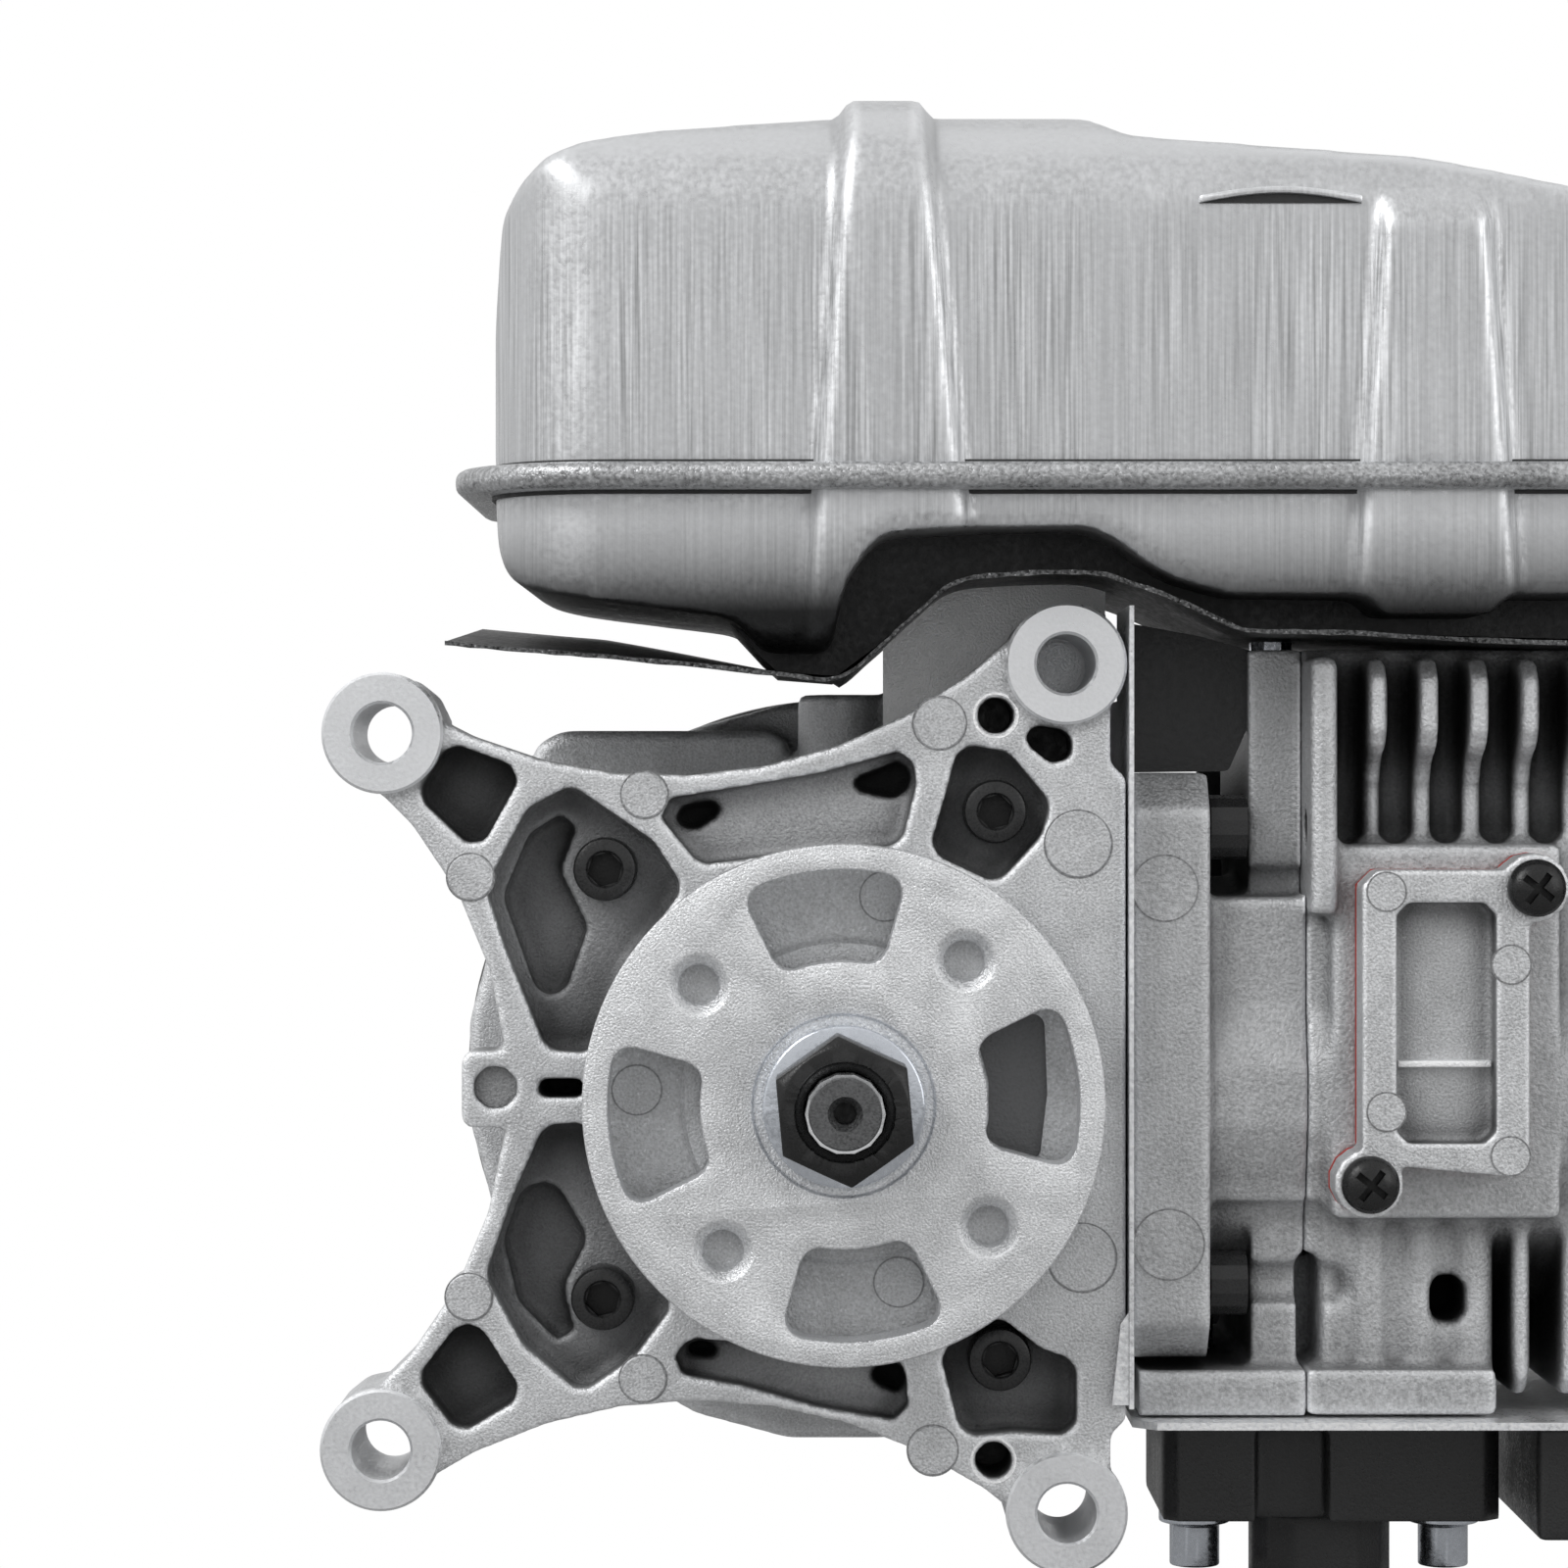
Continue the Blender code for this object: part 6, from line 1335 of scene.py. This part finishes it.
# ---------------------------------------------------------------- silencer
@dataclass
class Silencer:
    """The two drawn shells of the muffler, their rolled seam and the outlet."""

    left: float = -45.5
    right: float = 124.0
    front: float = -8.0
    back: float = 76.0
    corner: float = 16.0
    crown: float = 14.0
    seam: float = 80.2
    seam_half: float = 1.7
    lip: float = 5.2
    top: float = 127.9
    lowest: float = 57.0
    rib_height: float = 2.2
    rib_slope: float = 2.6
    voxel: float = 0.95

    def build(self) -> None:
        """Builds every piece of the silencer."""
        self._upper()
        self._lower()
        self._seam()
        self._shade_block()
        self._louvre()

    def _plan(self, grow: float = 0.0) -> list[Point]:
        """The shells' outline from above."""
        low, high = (self.left - grow, self.front - grow), (self.right + grow, self.back + grow)
        return rounded(rectangle(low, high), self.corner + grow, 12)

    def _upper(self) -> None:
        """The upper shell: three outlines' common solid, with pressed ribs."""
        face = [
            (-47.0, self.seam), (self.left, 100.0), (-44.3, 114.5), (-41.7, 118.7), (-38.3, 121.8), (-33.5, 123.9),
            (-25.4, 125.3), (2.2, self.top), (31.5, self.top), (37.0, 124.7), (69.6, 122.0), (75.0, 121.5),
            (95.7, 117.2), (116.0, 111.5), (121.5, 107.5), (self.right, 100.0), (self.right, self.seam),
        ]
        shoulder = self.top - self.crown
        side = [
            (self.front, self.seam), (self.front, shoulder - 6.0),
            *arc((self.front + self.crown, shoulder), self.crown, 180.0, 90.0, 8),
            *arc((self.back - self.crown, shoulder), self.crown, 90.0, 0.0, 8), (self.back, self.seam),
        ]
        shell = Piece("muffler_upper_fine", prism(face, Axis.Y, self.front - 1.0, self.back + 1.0))
        shell.common(
            prism(self._plan(), Axis.Z, self.seam - 1.0, self.top + 1.0),
            prism(side, Axis.X, self.left - 5.0, self.right + 5.0),
        )
        shell.cast(self.voxel, 14).moved(self._ribbed).dress(DRAWN, replaces=["muffler_upper_shell"])

    def _ribbed(self, points: np.ndarray) -> np.ndarray:
        """Pushes the pressed ribs out of a shell's front, top and back."""
        x, z = points[:, 0], points[:, 2]
        height = np.clip((z - self.seam) / 42.0, -0.6, 1.0)
        lift = self._rib(x, -3.4 + 3.4 * height, 15.2 - 4.4 * height)
        lift = np.maximum(lift, self._rib(x, 66.4 + 3.0 * height, 85.0 - 3.2 * height) * rise(z, 118.0, 112.0))
        away = points - np.array([0.0, (self.front + self.back) / 2.0, self.seam + 8.0])
        away[:, 0] = 0.0
        face = np.abs(away[:, 1]) / ((self.back - self.front) / 2.0)
        roof = np.clip(away[:, 2], 0.0, None) / (self.top - self.seam - 8.0)
        outwards = np.sign(away[:, 1]) * rise(face, 0.5, 0.95)
        push = np.stack([np.zeros_like(x), outwards, rise(roof, 0.6, 0.95)], axis=1)
        return points + push * (lift * self.rib_height)[:, None]

    def _rib(self, x: np.ndarray, left: np.ndarray, right: np.ndarray) -> np.ndarray:
        """A rib's height, 0 to 1, between two edges."""
        slope = self.rib_slope
        inner = np.clip((x - left) / slope + 0.5, 0.0, 1.0) * np.clip((right - x) / slope + 0.5, 0.0, 1.0)
        return inner * inner * (3.0 - 2.0 * inner)

    def _lower(self) -> None:
        """The lower shell, with the arch over the cylinder's neighbour and its foot."""
        face = [
            (self.left, self.seam), (-45.0, 72.4), (-44.2, 69.2), (-42.8, 67.3), (-40.3, 65.9), (-35.8, 65.0),
            (-15.2, 62.4), (-13.3, 61.4), (-10.2, 58.0), (-1.6, 58.0), (0.4, 67.0), (3.4, 71.3), (5.6, 73.0),
            (17.5, 73.7), (31.2, 73.9), (34.8, 72.3), (38.8, 69.3), (42.6, 67.2), (49.7, 65.2), (67.0, 65.0),
            (69.0, 62.6), (83.0, 62.6), (85.0, 65.0), (116.0, 65.0), (122.0, 69.0), (self.right, 75.0),
            (self.right, self.seam),
        ]
        side = [
            (self.front, self.seam), *arc((self.front + 9.0, 67.0), 9.0, 180.0, 250.0, 5),
            (10.0, self.lowest), (60.0, self.lowest),
            *arc((self.back - 9.0, 67.0), 9.0, -70.0, 0.0, 5), (self.back, self.seam),
        ]
        shell = Piece("muffler_lower_fine", prism(face, Axis.Y, self.front - 1.0, self.back + 1.0))
        shell.common(
            prism(self._plan(), Axis.Z, self.lowest - 1.0, self.seam + 1.0),
            prism(side, Axis.X, self.left - 5.0, self.right + 5.0),
        )
        shell.cast(self.voxel, 10).moved(self._ribbed).dress(DRAWN_LOW, replaces=["muffler_lower_shell"])

    def _seam(self) -> None:
        """The rolled seam around the shells."""
        bm = prism(self._plan(self.lip), Axis.Z, self.seam - self.seam_half, self.seam + self.seam_half)
        rims = [edge for edge in bm.edges if abs(edge.verts[0].co.z - edge.verts[1].co.z) < 0.1]
        bmesh.ops.bevel(bm, geom=rims, offset=1.45, segments=5, profile=0.5, affect="EDGES", material=-1)
        Piece("muffler_seam", bm).smooth(50.0).dress(SEAM)
        # painted shadow: a near-black strip just wider than the shells shows as thin dark lines above and below
        # the seam
        reach = self.seam_half + 0.5
        seam_shadow = prism(self._plan(0.45), Axis.Z, self.seam - reach, self.seam + reach)
        Piece("muffler_crease", seam_shadow).smooth(50.0).dress(SCORCHED)

    def _shade_block(self) -> None:
        """A near-black block between the lower shell and the heat shield, as painted shade."""
        outline = [
            (-15.6, 63.0), (-10.6, 57.6), (-8.5, 55.7), (-0.7, 55.1), (4.9, 59.3), (9.9, 63.8), (14.4, 67.3),
            (20.0, 68.3), (31.4, 68.6), (37.5, 67.1), (42.9, 65.1), (48.9, 62.3), (53.0, 61.1), (118.0, 59.4),
            (118.0, 66.5), (50.0, 67.5), (38.0, 75.0), (4.0, 75.0), (-3.0, 66.0), (-14.0, 66.0),
        ]
        # painted shade: a near-black block where shade lies behind the arch
        Piece("exhaust_collar", prism(outline, Axis.Y, 9.0, 62.0)).smooth().dress(SCORCHED)

    def _louvre(self) -> None:
        """The outlet's raised lip and, under it, a near-black slit that paints the shade inside the outlet."""
        middle, half, base, height, steps = 55.9, 10.4, 115.2, 1.2, 24
        shares = [index / steps for index in range(steps + 1)]
        crest = [
            (middle - half + 2.0 * half * share, base + height * math.sin(math.pi * share)) for share in shares
        ]
        slit = prism(crest, Axis.Y, self.front - 0.1, self.front + 6.0)
        # painted shade: the slit is a near-black plate
        Piece("outlet_slit_shade", slit).smooth().dress(SCORCHED)
        lip = [*crest, *[(x, z + 0.9) for x, z in reversed(crest)]]
        Piece("outlet_lip", prism(lip, Axis.Y, self.front - 0.9, self.front + 1.5)).eased(0.25).dress(DRAWN)


@dataclass
class HeatShield:
    """The scorched sheet between the cylinder and the silencer, with its sheared front edge."""

    front: float = -5.0
    back: float = 70.0
    tilt: float = 0.055
    thickness: float = 0.4
    web_span: Point = (5.0, 36.4)
    web_foot: float = 48.0
    line: Sequence[Point] = (
        (-51.2, 59.0), (-39.0, 57.9), (-26.7, 56.9), (-8.5, 55.1), (-0.7, 54.6), (4.9, 58.8), (9.9, 63.3),
        (14.4, 66.8), (20.0, 67.8), (31.4, 68.1), (37.5, 66.6), (42.9, 64.6), (48.9, 61.8), (53.0, 60.6),
        (64.8, 60.3), (79.8, 59.5), (93.1, 59.0), (118.0, 58.8),
    )

    def build(self) -> None:
        """Builds the sheet, its bright front edge, and the skirt and web under it."""
        sheet = self._strip(self.front + 0.6, self.back, self.thickness, 26, 0.0)
        Piece("heat_shield_fine", sheet).smooth(60.0).dress(SCORCHED, replaces=["heat_shield"])
        skirt = rounded([(37.2, 62.5), (48.0, 60.5), (56.0, 58.2), (56.5, 54.0), (51.5, 42.6), (37.2, 42.4)], 1.0)
        Piece("shield_skirt", prism(skirt, Axis.Y, 16.0, 17.2)).smooth().dress(SCORCHED)
        left, right = self.web_span
        top = [(x, z - self.thickness) for x, z in self._fine_line(6) if left < x < right]
        web = prism([(top[0][0], self.web_foot), *top, (top[-1][0], self.web_foot)], Axis.Y, 24.5, 26.0)
        Piece("shield_web", web).smooth().dress(CAST_REAR)
        edge = self._strip(self.front - 0.1, self.front + 0.7, self.thickness, 1, 0.2)
        Piece("heat_shield_edge", edge).smooth(60.0).dress(SHEARED)

    def _strip(self, start: float, end: float, thick: float, rows: int, ragged: float) -> bmesh.types.BMesh:
        """The sheet's line extruded from start to end, tilted up to the back.

        Args:
            start: Front place.
            end: Back place.
            thick: Thickness of the sheet.
            rows: Steps from front to back.
            ragged: How uneven the strip's thickness is.

        Returns:
            The closed shape.
        """
        dice = random.Random(7)
        points = self._fine_line(6)
        under = [(x, z - thick / 2.0 - dice.uniform(0.0, ragged)) for x, z in points]
        over = [(x, z + thick / 2.0 + dice.uniform(0.0, ragged)) for x, z in points]
        bm = prism([*under, *reversed(over)], Axis.Y, start, end)
        for row in range(1, rows):
            place = start + (end - start) * row / rows
            bmesh.ops.bisect_plane(
                bm, geom=[*bm.verts, *bm.edges, *bm.faces], dist=1e-4, plane_co=(0, place, 0), plane_no=(0, 1, 0)
            )
        for vert in bm.verts:
            if vert.co.x < 0.0:
                share = min(1.0, 0.25 - vert.co.x / 45.0)
                vert.co.z += self.tilt * (vert.co.y - self.front) * share
        return bm

    def _fine_line(self, parts: int) -> list[Point]:
        """The sheet's line as a smooth curve through its points."""
        line = list(self.line)
        made: list[Point] = []
        for index in range(len(line) - 1):
            before = line[max(index - 1, 0)]
            after = line[min(index + 2, len(line) - 1)]
            first, last = line[index], line[index + 1]
            for step in range(parts):
                t = step / parts
                made.append(tuple(
                    0.5 * (2 * b + (c - a) * t + (2 * a - 5 * b + 4 * c - d) * t * t
                           + (3 * b - a - 3 * c + d) * t ** 3)
                    for a, b, c, d in zip(before, first, last, after)
                ))
        return [*made, line[-1]]


# ---------------------------------------------------------------- intake side
@dataclass
class IntakeSide:
    """The insulator, carburettor, air filter, the cylinder's shroud and the intake bolts."""

    castings: Sequence[tuple[str, float, Finish]] = (
        ("insulator", 0.6, PLASTIC),
        ("carburettor", 0.6, CAST),
        ("air_filter_cover", 0.8, PLASTIC),
        ("air_filter_base", 0.7, PLASTIC),
        ("cylinder_shroud", 0.8, PLASTIC),
    )
    bolts: Sequence[str] = ("intake_bolt_1", "intake_bolt_2")

    def build(self) -> None:
        """Builds every piece of the intake side."""
        for node, voxel, finish in self.castings:
            Piece.of_node(node, node + "_fine").cast(voxel, 3).dress(finish, replaces=[node])
        for node in self.bolts:
            self._bolt(node)

    def _bolt(self, node: str) -> None:
        """A bright bolt with a flanged head that points down."""
        low, high = corners_of(node)
        middle = centre_of(node)
        head, shank = (high.x - low.x) / 2.0, 2.5
        bottom = low.z
        profile = softened([
            (0.0, bottom), (3.4, bottom), (3.4, bottom + 5.6), (head, bottom + 6.0), (head, bottom + 8.0),
            (shank, bottom + 8.0), (shank, high.z), (0.0, high.z),
        ], 0.3)
        bolt = Piece(node + "_fine", turned(profile, Axis.Z, (middle.x, middle.y), 64))
        bolt.smooth().dress(ZINC, replaces=[node])


# ---------------------------------------------------------------- starter
@dataclass
class Starter:
    """The pull starter's housing, handle and the stretch of rope between them."""

    rope_radius: float = 1.75
    rope_height: float = -24.0
    rope_place: float = 110.5
    radius: float = 53.0
    shoulder: float = 108.0
    face: float = 33.0
    wall: float = 2.5
    ear_circle: float = 57.2
    ears: Sequence[float] = (135.0, 225.0, 304.0)
    ear_radius: float = 5.5
    vents: int = 10
    vent_half: float = 9.0
    vent_inner: float = 14.0
    vent_outer: float = 27.0

    def build(self) -> None:
        """Builds every piece of the starter."""
        self._housing()
        Piece.of_node("starter_handle", "starter_handle_fine").cast(0.6, 5).dress(
            PLASTIC, "handle", ["starter_handle"])
        self._rope()

    def _housing(self) -> None:
        """The starter's turned housing, with its ears, vents and rope outlet."""
        low, high = corners_of("starter_housing")
        start, end, wall = low.y, high.y, self.wall
        radius, shoulder, face = self.radius, self.shoulder, self.face
        outer = [
            (0.0, start), (radius, start), (radius, shoulder), (radius - 6.0, shoulder + 6.0),
            (face + 3.0, shoulder + 10.0), (face, end), (0.0, end),
        ]
        inner = [
            (0.0, start - 5.0), (radius - wall, start - 5.0), (radius - wall, shoulder - 1.0),
            (radius - wall - 5.0, shoulder + 4.0), (face + 3.0 - wall, shoulder + 8.0), (face - wall, end - wall),
            (0.0, end - wall),
        ]
        places = [arc((0, 0), self.ear_circle, angle, angle + 1.0, 1)[0] for angle in self.ears]
        ear = [(0.0, start), (self.ear_radius, start), (self.ear_radius, start + 7.0), (0.0, start + 7.0)]
        body = Piece("starter_housing_fine", turned(softened(outer, 2.0, 5), sides=160))
        body.union(*[turned(ear, Axis.Y, place, 48) for place in places])
        bores = [prism(circle(place, 2.3, 32), Axis.Y, start - 5.0, start + 12.0) for place in places]
        vents = [self._vent(360.0 / self.vents * index + 18.0, end) for index in range(self.vents)]
        reach, size = radius + 10.0, self.rope_radius + 1.0
        outlet = turned(
            [(0.0, 0.0), (size, 0.0), (size, reach), (0.0, reach)], Axis.X, (self.rope_place, self.rope_height), 32
        )
        window = box((38.0, start - 5.0, -17.0), (radius + 5.0, 100.0, 17.0))
        body.cut(turned(inner, sides=160), *vents, *bores, outlet, window)
        body.eased(0.5, 2).dress(PLASTIC, replaces=["starter_housing"])

    def _vent(self, angle: float, end: float) -> bmesh.types.BMesh:
        """The cutter of one vent in the housing's end.

        Args:
            angle: The vent's middle, in degrees.
            end: The housing's end along Y.

        Returns:
            The closed shape.
        """
        low, high = angle - self.vent_half, angle + self.vent_half
        sector = [*arc((0, 0), self.vent_outer, low, high, 6), *arc((0, 0), self.vent_inner, high, low, 4)]
        return prism(rounded(sector, 0.8, 2), Axis.Y, end - self.wall - 2.0, end + 5.0)

    def _rope(self) -> None:
        """The rope from the housing to the handle."""
        low, _ = corners_of("starter_handle")
        middle = centre_of("starter_handle")
        start, end = low.x - 12.0, low.x + 6.0
        profile = [(0.0, start), (self.rope_radius, start), (self.rope_radius, end), (0.0, end)]
        bm = turned(profile, Axis.X, (middle.y, middle.z), 20)
        piece = Piece("starter_rope", bm).smooth()
        for place in np.linspace(start + 1.0, end - 1.0, 16):
            self._slice(piece, float(place))
        piece.obj.data.materials.append(ROPE.material())
        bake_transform(piece.obj)
        LOG.info("starter_rope: %d faces", len(piece.obj.data.polygons))

    @staticmethod
    def _slice(piece: Piece, place: float) -> None:
        """Adds a ring of points to a piece, across X."""
        bm = bmesh.new()
        bm.from_mesh(piece.obj.data)
        bmesh.ops.bisect_plane(
            bm, geom=[*bm.verts, *bm.edges, *bm.faces], dist=1e-7, plane_co=(place * MM, 0, 0), plane_no=(1, 0, 0)
        )
        bm.to_mesh(piece.obj.data)
        bm.free()


# ---------------------------------------------------------------- the rest
class CadPieces:
    """CAD nodes whose shape stays, with their slot's finish."""

    def build(self) -> None:
        """Dresses each CAD node that is still shown."""
        for name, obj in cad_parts.items():
            if obj.hide_render:
                continue
            slot = self._slot_of(obj)
            obj.data.materials.clear()
            obj.data.materials.append(SLOT_FINISH[slot].material())
            LOG.info("%s: CAD, %s", name, slot.value)

    @staticmethod
    def _slot_of(obj: bpy.types.Object) -> Slot:
        """The slot that a CAD node's packed material names."""
        packed = obj.data.materials[0].name if obj.data.materials else ""
        for slot in Slot:
            if slot.value in packed:
                return slot
        return Slot.CAST


def main() -> None:
    """Builds the studio and every sub-assembly in order."""
    logging.basicConfig(level=logging.INFO, format="%(name)s: %(message)s")
    Studio().build()
    for assembly in (
        Crankcase(), DriveEnd(), Barrel(), TransferPassage(), Silencer(), HeatShield(), IntakeSide(), Starter(),
    ):
        assembly.build()
    CadPieces().build()


if __name__ == "__main__":
    main()
